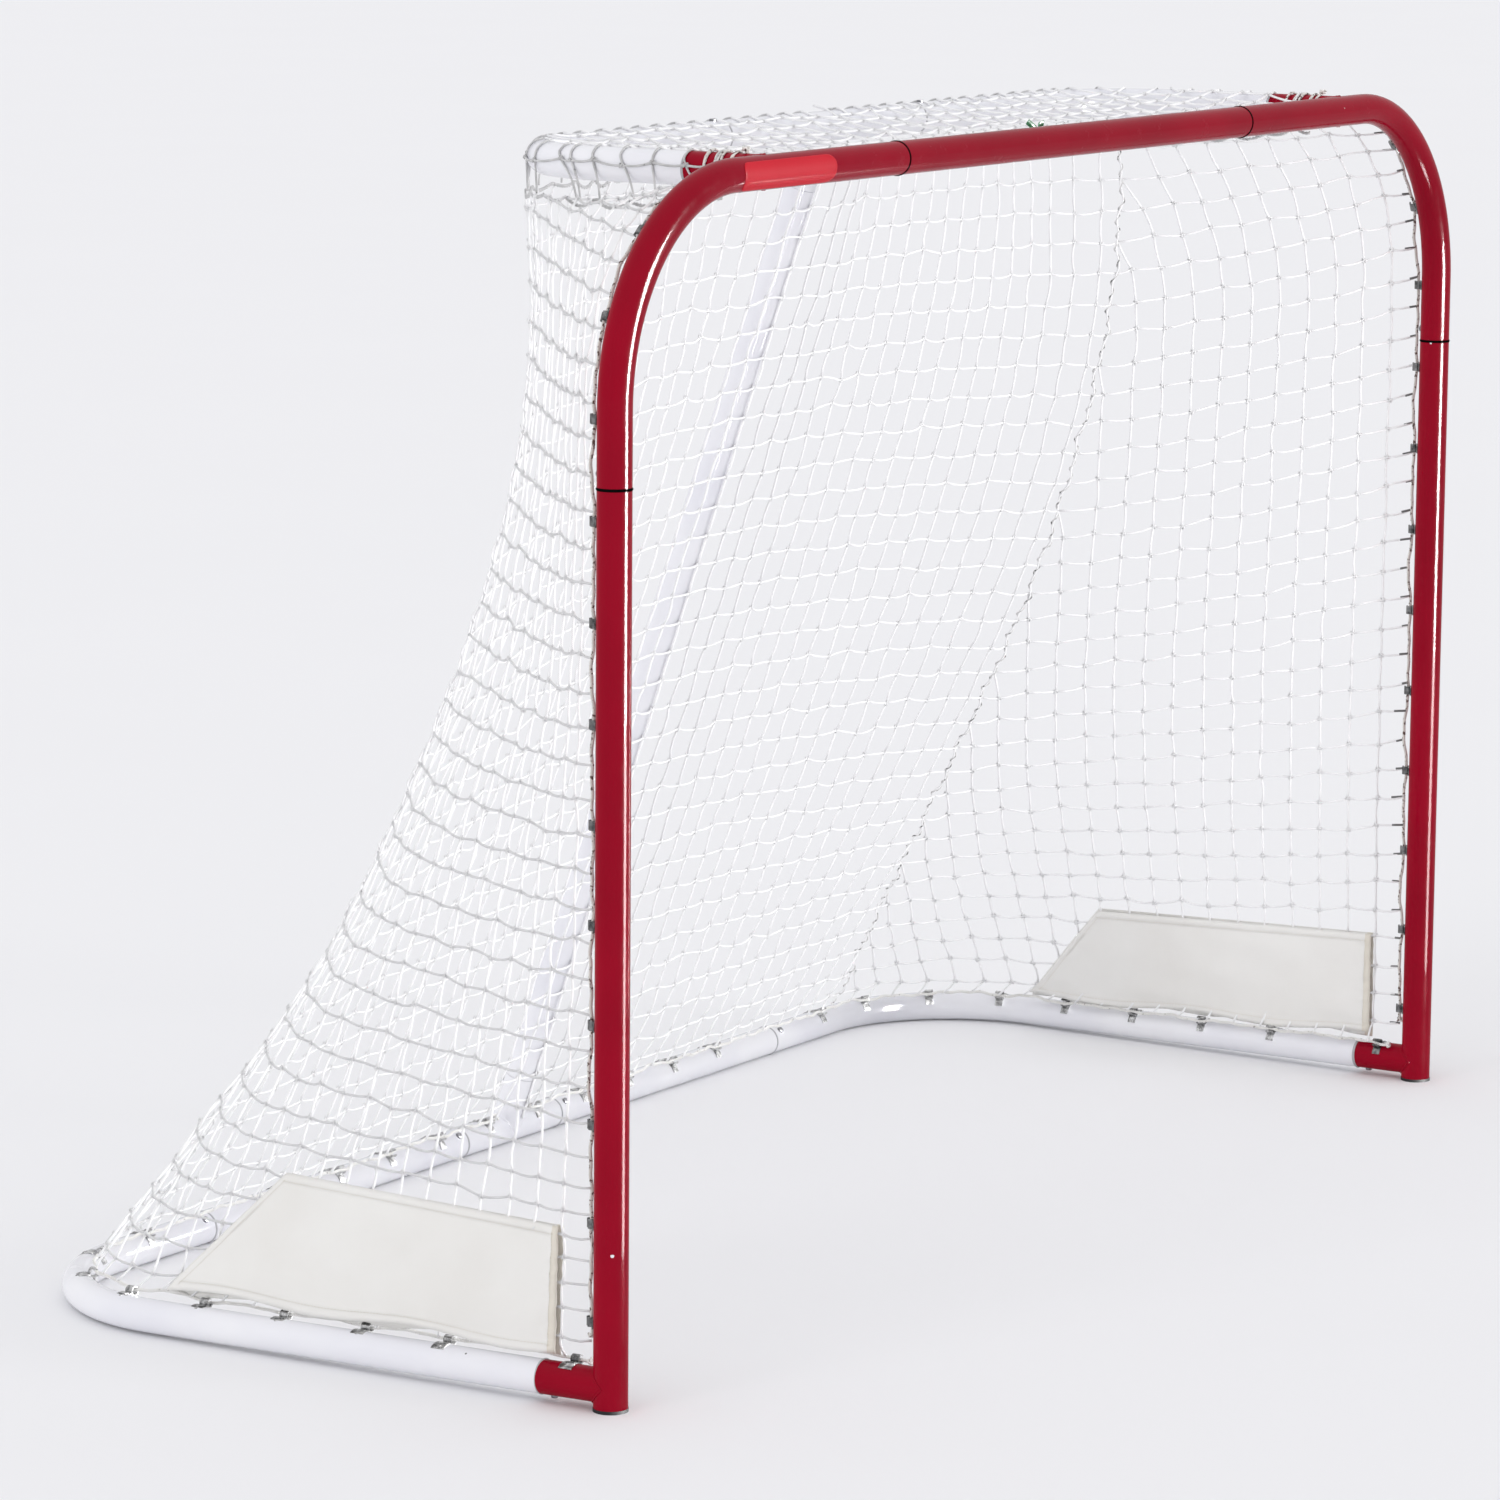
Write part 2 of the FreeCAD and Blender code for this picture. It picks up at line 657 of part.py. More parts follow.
for shape in (back_half, mirrored(back_half), back_corner, mirrored(back_corner)):
    put("back_net", shape)

inner_r = shelf_corner_radius - tube_r - net_top_gap
inner_x = shelf_half_width - shelf_corner_radius
inner_y = shelf_y - shelf_corner_radius
top_left = [V(-inner_x - inner_r, net_y, bar_z)]
for degrees in (180, 150, 120, 90):
    turn = math.radians(degrees)
    top_left.append(V(-inner_x + inner_r * math.cos(turn), inner_y + inner_r * math.sin(turn), bar_z))
put("top_net", net_fields("top net", [flip(top_left) + top_left]))

# Canvas skirts on the lowest field of each side net
field_normal = unit((side_end - foot_corner).cross(post_waist - foot_corner))
outward = field_normal * (-1 if field_normal.x > 0 else 1)


def on_field(depth, rise):
    """The point of the lowest side field at a depth behind the post and a rise above the base."""
    y = front_y + depth
    z = laid(V(0, y, base_rise)).z + rise
    part = V(foot_corner.x, y, z) - foot_corner
    return V(foot_corner.x - part.dot(field_normal) / field_normal.x, y, z)


skirt_high = skirt_low + skirt_height
skirt_outline = [on_field(skirt_front, skirt_low), on_field(skirt_back_low, skirt_low),
                 on_field(skirt_back_high, skirt_high), on_field(skirt_front, skirt_high)]
skirt_ply = Part.Face(Part.makePolygon(skirt_outline + skirt_outline[:1]))
for side in (1, -1):
    ply = skirt_ply.copy()
    ply.translate(outward * side * (net_thickness / 2 + skirt_gap))
    both_sides("skirt", ply.extrude(outward * side * skirt_thickness))

os.makedirs("parts", exist_ok=True)
for node, solids in solids_of.items():
    shape = solids[0] if len(solids) == 1 else Part.Compound(solids)
    bad = [i for i, solid in enumerate(solids) if not solid.isValid()]
    print(node, "solids", len(solids), "volume", round(shape.Volume), "not valid" if bad else "valid")
    shape.exportStep("parts/" + node + ".step")
print("nodes", len(solids_of))
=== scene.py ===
# Hockey goal: knotted nets, laced ropes, canvas skirts and finishes around the fixed tube frame
import json
import math

import bpy
import numpy as np
from mathutils import Matrix, Vector


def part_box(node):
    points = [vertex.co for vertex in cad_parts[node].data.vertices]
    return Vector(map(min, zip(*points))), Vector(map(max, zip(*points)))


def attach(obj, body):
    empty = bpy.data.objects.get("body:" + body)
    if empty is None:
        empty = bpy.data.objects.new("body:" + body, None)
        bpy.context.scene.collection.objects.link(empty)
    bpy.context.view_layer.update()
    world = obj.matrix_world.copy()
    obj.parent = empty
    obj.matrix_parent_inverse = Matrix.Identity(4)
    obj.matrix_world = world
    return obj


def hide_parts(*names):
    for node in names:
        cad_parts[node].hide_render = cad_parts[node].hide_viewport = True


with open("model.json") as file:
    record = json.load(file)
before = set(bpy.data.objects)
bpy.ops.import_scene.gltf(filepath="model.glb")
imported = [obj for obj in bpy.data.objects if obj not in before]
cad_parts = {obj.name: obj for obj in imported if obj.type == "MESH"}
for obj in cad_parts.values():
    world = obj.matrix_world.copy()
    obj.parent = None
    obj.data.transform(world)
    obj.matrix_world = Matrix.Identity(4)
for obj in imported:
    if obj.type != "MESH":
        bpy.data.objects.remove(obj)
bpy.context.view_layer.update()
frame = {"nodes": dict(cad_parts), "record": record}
nodes = frame["nodes"]
body = "frame"
up = np.array([0.0, 0.0, 1.0])


# Places read from the frame

def frameSizes():
    # the tubes' centre lines, from the boxes of the pieces that they belong to
    barLow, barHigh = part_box("crossbar_centre")
    tubeR = (barHigh[2] - barLow[2]) / 2
    baseLow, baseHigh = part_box("left_base_corner")
    shelfLow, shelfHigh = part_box("left_shelf_corner")
    return {
        "tubeR": tubeR,
        "postX": -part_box("left_top_corner")[0][0] - tubeR,
        "frontY": (barLow[1] + barHigh[1]) / 2,
        "barZ": (barLow[2] + barHigh[2]) / 2,
        "rearY": baseHigh[1] - tubeR,
        "baseX": -baseLow[0] - tubeR,
        "shelfX": -shelfLow[0] - tubeR,
        "shelfY": shelfHigh[1] - tubeR,
        "baseRise": 0.025,              # base tube's centre line at the posts
        "bendR": 0.220, "baseBendR": 0.188, "shelfBendR": 0.133,
        "baseLean": math.radians(35),   # ropes and nets leave the base this far inwards from straight up
    }


tubes = frameSizes()


# Curves as arrays of points

def unit(v):
    return v / np.maximum(np.linalg.norm(v, axis=-1, keepdims=True), 1e-12)


def wayAlong(line):
    return unit(np.gradient(line, axis=0))


def turned(angle, first, second):
    # cos of the angle times first, plus sin times second
    angle = np.asarray(angle)[..., None]
    return np.cos(angle) * first + np.sin(angle) * second


def acrossBoth(way, other):
    # a direction across both, and the one across it and the way
    first = unit(np.cross(way, other))
    return first, np.cross(way, first)


def fullTurn(count):
    return np.linspace(0, 2 * math.pi, count, endpoint=False)


def lengths(line):
    return np.concatenate([[0.0], np.cumsum(np.linalg.norm(np.diff(line, axis=0), axis=1))])


def tell(name, line):
    print(name, "length", round(float(lengths(line)[-1]), 3))


def pick(along, values, at):
    # each column of values, read at distances at
    return np.stack([np.interp(at, along, values[:, k]) for k in range(values.shape[1])], axis=-1)


def eased(share):
    # from 0 to 1 with a soft start and end
    share = np.clip(share, 0, 1)
    return share * share * (3 - 2 * share)


def evenly(line, step):
    along = lengths(line)
    return pick(along, line, np.linspace(0, along[-1], int(along[-1] / step) + 2))


def bentLine(corners, radius, step=0.002):
    # straight runs joined by arcs: an arc's point is its corner, less the arc's reach along both runs
    parts = [corners[:1]]
    for before, corner, after in zip(corners, corners[1:], corners[2:]):
        a, b = unit(before - corner), unit(after - corner)
        half = math.acos(np.clip(a @ b, -1, 1)) / 2
        middle = corner + unit(a + b) * radius / math.sin(half)
        start = corner + a * radius / math.tan(half)
        end = corner + b * radius / math.tan(half)
        turn = math.pi - 2 * half
        t = np.linspace(0, 1, 48)[:, None]
        p, q = start - middle, end - middle
        parts.append(middle + (p * np.sin((1 - t) * turn) + q * np.sin(t * turn)) / math.sin(turn))
    parts.append(corners[-1:])
    return evenly(np.concatenate(parts), step)


def smoothLine(points, step=0.004):
    # a Catmull-Rom curve through a few points
    p = np.array(points, float)
    p = np.concatenate([[2 * p[0] - p[1]], p, [2 * p[-1] - p[-2]]])
    t = np.linspace(0, 1, 40, endpoint=False)[:, None]
    parts = []
    for a, b, c, d in zip(p, p[1:], p[2:], p[3:]):
        parts.append(0.5 * (2 * b + (c - a) * t + (2 * a - 5 * b + 4 * c - d) * t ** 2
                            + (3 * b - a - 3 * c + d) * t ** 3))
    parts.append(p[-2:-1])
    return evenly(np.concatenate(parts), step)


def rail(line, outOf):
    # a tube's centre line, with its direction and the way off the tube that ropes and nets lie
    tangent = wayAlong(line)
    out = outOf(tangent)
    out = unit(out - tangent * np.sum(tangent * out, axis=1, keepdims=True))
    return {"along": lengths(line), "line": line, "tangent": tangent, "out": out}


def railPoint(r, at, off):
    return onLine(r, at) + unit(pick(r["along"], r["out"], at)) * np.asarray(off)[..., None]


def onLine(r, at):
    return pick(r["along"], r["line"], at)


def wayOf(r, at):
    return pick(r["along"], r["tangent"], at)


def nearestOn(r, points):
    # each point's place along a rail, a few hundred points at a time
    found = np.zeros(len(points))
    for first in range(0, len(points), 400):
        part = points[first:first + 400]
        far = np.linalg.norm(part[:, None] - r["line"][None], axis=2)
        found[first:first + 400] = r["along"][far.argmin(axis=1)]
    return found


def insideAndUp(tangent):
    return unit(np.cross(tangent, up)) * math.sin(tubes["baseLean"]) + up * math.cos(tubes["baseLean"])


def straightBack(tangent):
    return np.tile([0.0, 1.0, 0.0], (len(tangent), 1))


def mirrorX(points):
    return points * np.array([-1.0, 1.0, 1.0])


def hoop(endX, cornerX, ends, corners, bendR, outOf):
    # a tube from left to right, with y and z of its ends and of its corners
    points = np.array([[-endX, *ends], [-cornerX, *corners], [cornerX, *corners], [endX, *ends]])
    return rail(bentLine(points, bendR), outOf)


def frameRails():
    k = tubes
    bar = (k["frontY"], k["barZ"])
    return (hoop(k["postX"], k["postX"], (k["frontY"], 0), bar, k["bendR"], straightBack),
            hoop(k["postX"], k["baseX"], (k["frontY"], k["baseRise"]), (k["rearY"], k["tubeR"]),
                 k["baseBendR"], insideAndUp),
            hoop(k["shelfX"], k["shelfX"], bar, (k["shelfY"], k["barZ"]), k["shelfBendR"], insideAndUp))


frontRail, baseRail, shelfRail = frameRails()
frontLength, baseLength, shelfLength = (r["along"][-1] for r in (frontRail, baseRail, shelfRail))
poleFoot = np.array([0.0, tubes["rearY"], tubes["tubeR"]])
poleHead = np.array([0.0, tubes["shelfY"], tubes["barZ"]])
poleWay = unit(poleHead - poleFoot)


def clearOfTubes(points, room):
    # moves points that lie within a tube straight out to its surface plus room, a few thousand at a time
    shape = points.shape
    p = points.reshape(-1, 3).copy()
    reach = tubes["tubeR"] + room
    away = (p - poleFoot) - ((p - poleFoot) @ poleWay)[:, None] * poleWay
    far = np.linalg.norm(away, axis=1, keepdims=True)
    p += np.where(far < reach, unit(away + [0.0, -1e-4, 0.0]) * (reach - far), 0)
    for r in (frontRail, baseRail, shelfRail):
        line = r["line"][::4]
        low, high = line.min(axis=0) - reach, line.max(axis=0) + reach
        near = np.flatnonzero(((p > low) & (p < high)).all(axis=1))
        for first in range(0, len(near), 3000):
            which = near[first:first + 3000]
            gap = p[which][:, None] - line[None]
            dist = np.linalg.norm(gap, axis=2)
            k = dist.argmin(axis=1)
            close = dist[np.arange(len(which)), k][:, None]
            offset = gap[np.arange(len(which)), k]
            p[which] += np.where(close < reach, unit(offset) * (reach - close), 0)
    return p.reshape(shape)


# Meshes

def quadMesh(name, part, finish):
    verts, quads, uv = part
    mesh = bpy.data.meshes.new(name)
    mesh.vertices.add(len(verts))
    mesh.vertices.foreach_set("co", np.asarray(verts, np.float32).ravel())
    mesh.loops.add(len(quads) * 4)
    mesh.loops.foreach_set("vertex_index", np.asarray(quads, np.int32).ravel())
    mesh.polygons.add(len(quads))
    mesh.polygons.foreach_set("loop_start", np.arange(len(quads), dtype=np.int32) * 4)
    if uv is not None:
        layer = mesh.uv_layers.new(name="UVMap")
        layer.data.foreach_set("uv", np.asarray(uv, np.float32).ravel())
    mesh.update(calc_edges=True)
    mesh.validate()
    mesh.shade_smooth()
    mesh.materials.append(finish)
    piece = bpy.data.objects.new(name, mesh)
    bpy.context.scene.collection.objects.link(piece)
    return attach(piece, body)


def addFinishes(piece, finishes, index):
    for finish in finishes:
        piece.data.materials.append(finish)
    piece.data.polygons.foreach_set("material_index", index.astype(np.int32))


def thicken(piece, name, thickness):
    solid = piece.modifiers.new(name, "SOLIDIFY")
    solid.thickness, solid.offset = thickness, 1.0


def tubeParts(paths, radius, sides=6, normals=None, closed=False):
    # paths (n, m, 3): each ring is its point plus radius times (cos a * first + sin a * second)
    # the number of sides is even, so that quads close the ends
    n, m, _ = paths.shape
    if closed:
        tangent = unit(np.roll(paths, -1, axis=1) - np.roll(paths, 1, axis=1))
    else:
        tangent = unit(np.gradient(paths, axis=1))
    if normals is None:
        mean = unit(paths[:, -1:] - paths[:, :1])
        normals = np.where(np.abs(mean[..., 2:]) > 0.8, np.array([0.0, 1.0, 0.0]), up)
    first, second = acrossBoth(tangent, np.broadcast_to(normals, paths.shape))
    angle = np.arange(sides) * 2 * math.pi / sides
    radius = np.broadcast_to(radius, (n, m))[:, :, None, None]
    verts = paths[:, :, None] + radius * turned(angle, first[:, :, None], second[:, :, None])
    index = np.arange(n * m * sides).reshape(n, m, sides)
    if closed:
        index = np.concatenate([index, index[:, :1]], axis=1)
    around = np.roll(index, -1, axis=2)
    quads = np.stack([index[:, :-1], around[:, :-1], around[:, 1:], index[:, 1:]], axis=-1).reshape(-1, 4)
    step = np.linalg.norm(np.diff(paths, axis=1), axis=2)
    along = np.concatenate([np.zeros((n, 1)), np.cumsum(step, axis=1)], axis=1)
    if closed:
        along = np.concatenate([along, along[:, -1:] + step[:, -1:]], axis=1)
    low, high = along[:, :-1, None], along[:, 1:, None]
    u = (np.arange(sides) / sides)[None, None]
    low, high, u = np.broadcast_arrays(low, high, u)
    uNext = u + 1 / sides
    uv = np.stack([u, low, uNext, low, uNext, high, u, high], axis=-1).reshape(-1, 8)
    if closed:
        return verts.reshape(-1, 3), quads, uv
    caps = []
    for end, order in ((0, -1), (m - 1, 1)):
        ringOf = index[:, end][:, ::order]
        for k in range(1, sides - 2, 2):
            caps.append(ringOf[:, [0, k, k + 1, k + 2]])
    uv = np.concatenate([uv, np.zeros((sum(map(len, caps)), 8))])
    return verts.reshape(-1, 3), np.concatenate([quads] + caps), uv


def gridQuads(rows, columns):
    index = np.arange(rows * columns).reshape(rows, columns)
    return np.stack([index[:-1, :-1], index[:-1, 1:], index[1:, 1:], index[1:, :-1]], axis=-1).reshape(-1, 4)


def mirrored(part):
    # a part's mirror image, its faces turned the right way again
    verts, quads, uv = part
    return mirrorX(verts), quads[:, ::-1], uv.reshape(-1, 4, 2)[:, ::-1].reshape(-1, 8)


def joined(parts):
    verts, quads, uvs, count = [], [], [], 0
    for v, q, uv in parts:
        verts.append(v)
        quads.append(q + count)
        uvs.append(uv)
        count += len(v)
    return np.concatenate(verts), np.concatenate(quads), np.concatenate(uvs)


def twisted(line, normal, strands, strandR, turn):
    # a rope: each strand's centre winds round the line once every turn
    first, second = acrossBoth(wayAlong(line), normal)
    coreR = strandR if strands == 2 else strandR * 1.155
    paths = []
    for k in range(strands):
        angle = 2 * math.pi * (lengths(line) / turn + k / strands)
        paths.append(line + coreR * turned(angle, first, second))
    return tubeParts(np.array(paths), strandR, 6, np.broadcast_to(normal, (strands,) + line.shape))


# Finishes

class Finish:
    # a material whose nodes are added by name and joined by socket
    def __init__(self, name):
        self.material = bpy.data.materials.new(name)
        self.material.use_nodes = True
        self.tree = self.material.node_tree
        self.shader = self.tree.nodes["Principled BSDF"]
        self.place = self.add("ShaderNodeTexCoord")

    def add(self, kind, links=None, **values):
        node = self.tree.nodes.new(kind)
        for key, value in values.items():
            if key[0].isupper():
                node.inputs[key.replace("_", " ")].default_value = value
            else:
                setattr(node, key, value)
        for socket, source in (links or {}).items():
            self.tree.links.new(source, node.inputs[socket])
        return node

    def feed(self, socket, value):
        # a socket takes a number, a colour or what another node gives
        if isinstance(value, tuple):
            socket.default_value = (*value, 1)
        elif isinstance(value, (int, float)):
            socket.default_value = value
        else:
            self.tree.links.new(value, socket)

    def math(self, operation, a, b=0.0):
        node = self.add("ShaderNodeMath", operation=operation)
        self.feed(node.inputs[0], a)
        self.feed(node.inputs[1], b)
        return node.outputs[0]

    def noise(self, scale, detail=3.0, where=None, rough=0.5):
        node = self.add("ShaderNodeTexNoise", {"Vector": where or self.place.outputs["Object"]},
                        Scale=scale, Detail=detail, Roughness=rough)
        return node.outputs["Fac"]

    def ramp(self, source, low, high, colourLow=(0, 0, 0), colourHigh=(1, 1, 1)):
        node = self.add("ShaderNodeValToRGB", {"Fac": source})
        first, last = node.color_ramp.elements
        first.position, first.color = low, (*colourLow, 1)
        last.position, last.color = high, (*colourHigh, 1)
        return node.outputs["Color"]

    def mix(self, share, a, b, blend="MIX"):
        node = self.add("ShaderNodeMix", data_type="RGBA", blend_type=blend)
        for place, value in ((0, share), (6, a), (7, b)):
            self.feed(node.inputs[place], value)
        return node.outputs[2]

    def bump(self, height, strength, distance, under=None):
        links = {"Height": height} if under is None else {"Height": height, "Normal": under}
        return self.add("ShaderNodeBump", links, Strength=strength, Distance=distance).outputs["Normal"]

    def set(self, **values):
        for key, value in values.items():
            self.feed(self.shader.inputs[key.replace("_", " ")], value)
        return self.material


def grey(value):
    return (value, value, value)


def powderCoat(name, main, shade, speck, speckShare, coat):
    # gloss powder coat: slow colour drift, a faint orange peel and a few tiny specks
    f = Finish(name)
    colour = f.mix(f.ramp(f.noise(7.0), 0.35, 0.7), main, shade)
    cells = f.add("ShaderNodeTexVoronoi", {"Vector": f.place.outputs["Object"]}, Scale=34.0, Randomness=1.0)
    dot = f.math("LESS_THAN", cells.outputs["Distance"], 0.045)
    number = f.math("FRACT", f.math("MULTIPLY", cells.outputs["Color"], 7.3))
    chosen = f.math("MULTIPLY", dot, f.math("LESS_THAN", number, speckShare))
    colour = f.mix(chosen, colour, speck)
    peel = f.bump(f.noise(420.0, 2.0), 0.10, 0.0004)
    scuff = f.ramp(f.noise(38.0, 6.0, rough=0.7), 0.40, 0.75, grey(0.17), grey(0.33))
    return f.set(Base_Color=colour, Roughness=scuff, Normal=peel, Coat_Weight=coat, Coat_Roughness=0.05,
                 Coat_IOR=1.42, Specular_IOR_Level=0.02)


def gapFinish(name, main, shade):
    # what shows in the narrow gap between two tube ends: little light comes back from it
    f = Finish(name)
    return f.set(Base_Color=f.mix(f.noise(300.0), main, shade), Roughness=0.9, Specular_IOR_Level=0.0)


def footPlastic():
    f = Finish("footPlastic")
    grain = f.bump(f.noise(900.0, 2.0), 0.25, 0.0003)
    colour = f.mix(f.noise(40.0), (0.012, 0.012, 0.013), (0.035, 0.034, 0.036))
    return f.set(Base_Color=colour, Roughness=0.6, Specular_IOR_Level=0.2, Normal=grain)


def clipZinc(name, low, high):
    # zinc-plated strip, cloudy and streaked along its rolling direction
    f = Finish(name)
    stretch = f.add("ShaderNodeMapping", {"Vector": f.place.outputs["Object"]})
    stretch.inputs["Scale"].default_value = (900.0, 900.0, 120.0)
    streak = f.noise(1.0, 4.0, stretch.outputs[0])
    colour = f.mix(f.ramp(f.noise(160.0, 4.0), 0.3, 0.7), grey(low), grey(high))
    rough = f.ramp(streak, 0.2, 0.8, grey(0.20), grey(0.36))
    return f.set(Base_Color=colour, Roughness=rough, Metallic=1.0, Normal=f.bump(streak, 0.15, 0.0002))


def buttonSteel():
    f = Finish("buttonSteel")
    wear = f.noise(700.0, 4.0)
    colour = f.mix(f.ramp(wear, 0.35, 0.65), (0.16, 0.16, 0.17), (0.36, 0.36, 0.38))
    return f.set(Base_Color=colour, Roughness=0.3, Metallic=1.0, Normal=f.bump(wear, 0.1, 0.0001))


def cordFinish(name, main, shade, fleck, fleckShare, lay):
    # a laid cord: yarns slant round it, read from the piece's own map of turn and length
    f = Finish(name)
    split = f.add("ShaderNodeSeparateXYZ", {"Vector": f.place.outputs["UV"]})
    turn = f.math("MULTIPLY", split.outputs["X"], 3.0)
    climb = f.math("MULTIPLY", split.outputs["Y"], 3.0 / lay)
    slant = f.math("FRACT", f.math("ADD", turn, climb))
    height = f.math("MULTIPLY", f.math("PINGPONG", slant, 0.5), 2.0)
    colour = f.mix(f.ramp(f.noise(55.0, 3.0), 0.35, 0.7), main, shade)
    # the grooves between the yarns are darkened: painted shade
    grooveShade = f.ramp(height, 0.05, 0.45, (0.70, 0.70, 0.72))
    dark = f.mix(0.6, colour, grooveShade, "MULTIPLY")
    whole = f.mix(f.math("LESS_THAN", f.noise(240.0, 2.0), fleckShare), dark, fleck)
    normal = f.bump(f.noise(2600.0, 3.0), 0.25, 0.0003, f.bump(height, 0.6, 0.0006))
    return f.set(Base_Color=whole, Roughness=0.82, Normal=normal, Sheen_Weight=0.25, Sheen_Roughness=0.5)


def canvas(name, main, shade):
    # plain weave at the cloth's own scale, with slubs and a few faint soft stains
    f = Finish(name)
    split = f.add("ShaderNodeSeparateXYZ", {"Vector": f.place.outputs["UV"]})
    threads = 2 * math.pi / 0.0009
    warp = f.math("SINE", f.math("MULTIPLY", split.outputs["X"], threads))
    weft = f.math("SINE", f.math("MULTIPLY", split.outputs["Y"], threads))
    weave = f.math("MULTIPLY", warp, weft)
    colour = f.mix(f.ramp(f.noise(9.0, 5.0), 0.42, 0.75), main, shade)
    # the weave's low places are darkened a little: painted shade between the threads
    weaveShade = f.ramp(f.math("MULTIPLY_ADD", weave, 0.5), -0.6, 1.0, grey(0.86))
    weaveShaded = f.mix(0.5, colour, weaveShade, "MULTIPLY")
    soft = f.bump(f.noise(16.0, 1.5), 0.8, 0.006)
    normal = f.bump(f.noise(420.0, 4.0), 0.3, 0.0004, f.bump(weave, 0.35, 0.0003, soft))
    return f.set(Base_Color=weaveShaded, Roughness=0.85, Normal=normal, Sheen_Weight=0.2)


redPaint = powderCoat("redPaint", (0.285, 0.0016, 0.0150), (0.240, 0.0013, 0.0125), (0.72, 0.62, 0.6),
                      0.02, 0.14)
whitePaint = powderCoat("whitePaint", (0.80, 0.80, 0.83), (0.74, 0.74, 0.79), (0.12, 0.11, 0.12), 0.03, 0.3)
footBlack = footPlastic()
gapShade = gapFinish("gapBlack", (0.002, 0.002, 0.002), (0.006, 0.005, 0.005))
gapPale = gapFinish("gapGrey", (0.40, 0.40, 0.42), (0.46, 0.46, 0.48))
zinc = clipZinc("clipZinc", 0.12, 0.74)
# a darker copy of the clip zinc: painted shade for the clips on the posts
zincShaded = clipZinc("clipZincShaded", 0.05, 0.30)
steel = buttonSteel()
netCord = cordFinish("netCord", (0.94, 0.94, 0.945), (0.89, 0.89, 0.90), grey(0.78), 0.2, 0.006)
# the knots' darker cord is painted shade
netKnotShaded = cordFinish("netKnotShaded", (0.83, 0.83, 0.835), (0.76, 0.76, 0.77), grey(0.6), 0.3, 0.006)
# darker cord for the left side net's rows: painted shade
netRowShaded = cordFinish("netRowShaded", (0.72, 0.72, 0.725), (0.63, 0.63, 0.64), grey(0.5), 0.3, 0.006)
laceCord = cordFinish("laceCord", (0.80, 0.78, 0.74), (0.68, 0.65, 0.61), (0.11, 0.06, 0.05), 0.40, 0.005)
seamCord = cordFinish("seamCord", (0.76, 0.76, 0.75), (0.62, 0.61, 0.60), grey(0.05), 0.42, 0.004)
# grey cord over and below the shelf tube: partly painted shade, partly its own dark flecks
shelfCordShaded = cordFinish("shelfCordShaded", grey(0.66), grey(0.46), grey(0.15), 0.3, 0.005)
baseCord = cordFinish("baseCord", (0.86, 0.85, 0.83), (0.76, 0.75, 0.72), (0.30, 0.27, 0.25), 0.3, 0.005)
# dark cord over the rows' last stretches at the right post: painted shade
endShadeCord = cordFinish("endShadeCord", grey(0.20), grey(0.11), grey(0.05), 0.3, 0.004)
skirtCanvas = canvas("skirtCanvas", (0.82, 0.81, 0.785), (0.785, 0.77, 0.74))
hemCanvas = canvas("hemCanvas", (0.73, 0.69, 0.61), (0.68, 0.635, 0.55))
print("finishes made")


def dressFrame():
    bySlot = {"red_paint": redPaint, "white_paint": whitePaint, "foot_plastic": footBlack,
              "clip_zinc": zinc, "button_steel": steel}
    for part in frame["record"]["subparts"]:
        finish = bySlot.get(part["material_slot"])
        # the clips on the posts and corners take the darker zinc: painted shade
        if part["node"].endswith(("post_clips", "corner_clips")):
            finish = zincShaded
        if finish:
            node = nodes[part["node"]]
            for place in node.material_slots:
                place.material = finish
            if not node.material_slots:
                node.data.materials.append(finish)


dressFrame()
print("frame dressed")


# Ropes through the clips

rope = {
    "hook": 0.02355,            # clip's hook, from its tube's centre line
    "netEdge": 0.030,           # where the nets' outlines run
    "strandR": 0.00095, "strands": 3, "turn": 0.010,
    "postBulge": (0.0005, 0.0050), "baseBulge": (0.001, 0.006), "barBulge": (0.002, 0.007),
    "tail": 0.016, "knotR": 0.0021,
    "stubClip": 0.048,          # the clip on each red stub, from the post's centre line
}


def clipStations(r, clipNodes):
    # clips' places along a rail: sorted vertices fall into groups, one for each clip
    points = []
    for node in clipNodes:
        co = np.zeros(len(nodes[node].data.vertices) * 3)
        nodes[node].data.vertices.foreach_get("co", co)
        points.append(co.reshape(-1, 3)[::3])
    at = np.sort(nearestOn(r, np.concatenate(points)))
    groups = np.split(at, np.flatnonzero(np.diff(at) > 0.02) + 1)
    return np.array([(g[0] + g[-1]) / 2 for g in groups])


def ropeOff(at, stations, bulges):
    # how far the rope stands off the tube: at the hook in each clip, bulging between clips
    k = np.clip(np.searchsorted(stations, at) - 1, 0, len(stations) - 2)
    t = np.clip((at - stations[k]) / (stations[k + 1] - stations[k]), 0, 1)
    return rope["hook"] + bulges[k] * np.sin(math.pi * t) ** 1.4


def ropeAlong(name, r, stations, bulge, seed, finish=laceCord):
    # a laid rope through a row of clips, knotted at both ends; it returns the way to find a place on it
    draw = np.random.default_rng(seed)
    bulges = draw.uniform(*bulge, len(stations))
    at = np.arange(stations[0] - rope["tail"], stations[-1] + rope["tail"], 0.0012)
    out = pick(r["along"], r["out"], at)
    waver = 0.0012 * np.sin(at * 90 + seed) + 0.0009 * np.sin(at * 217 + 2 * seed)
    line = railPoint(r, at, ropeOff(at, stations, bulges))
    line = line + np.cross(wayOf(r, at), unit(out)) * waver[:, None]
    parts = [twisted(line, out, rope["strands"], rope["strandR"], rope["turn"])]
    for end, inward in ((0, 1), (-1, -1)):
        parts.append(stopperKnot(line[end], unit(line[end + 2 * inward] - line[end])))
    piece = quadMesh(name, joined(parts), finish)
    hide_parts(name.replace("rope", "lace"))
    tell(name, line)
    return lambda where: railPoint(r, where, ropeOff(where, stations, bulges))


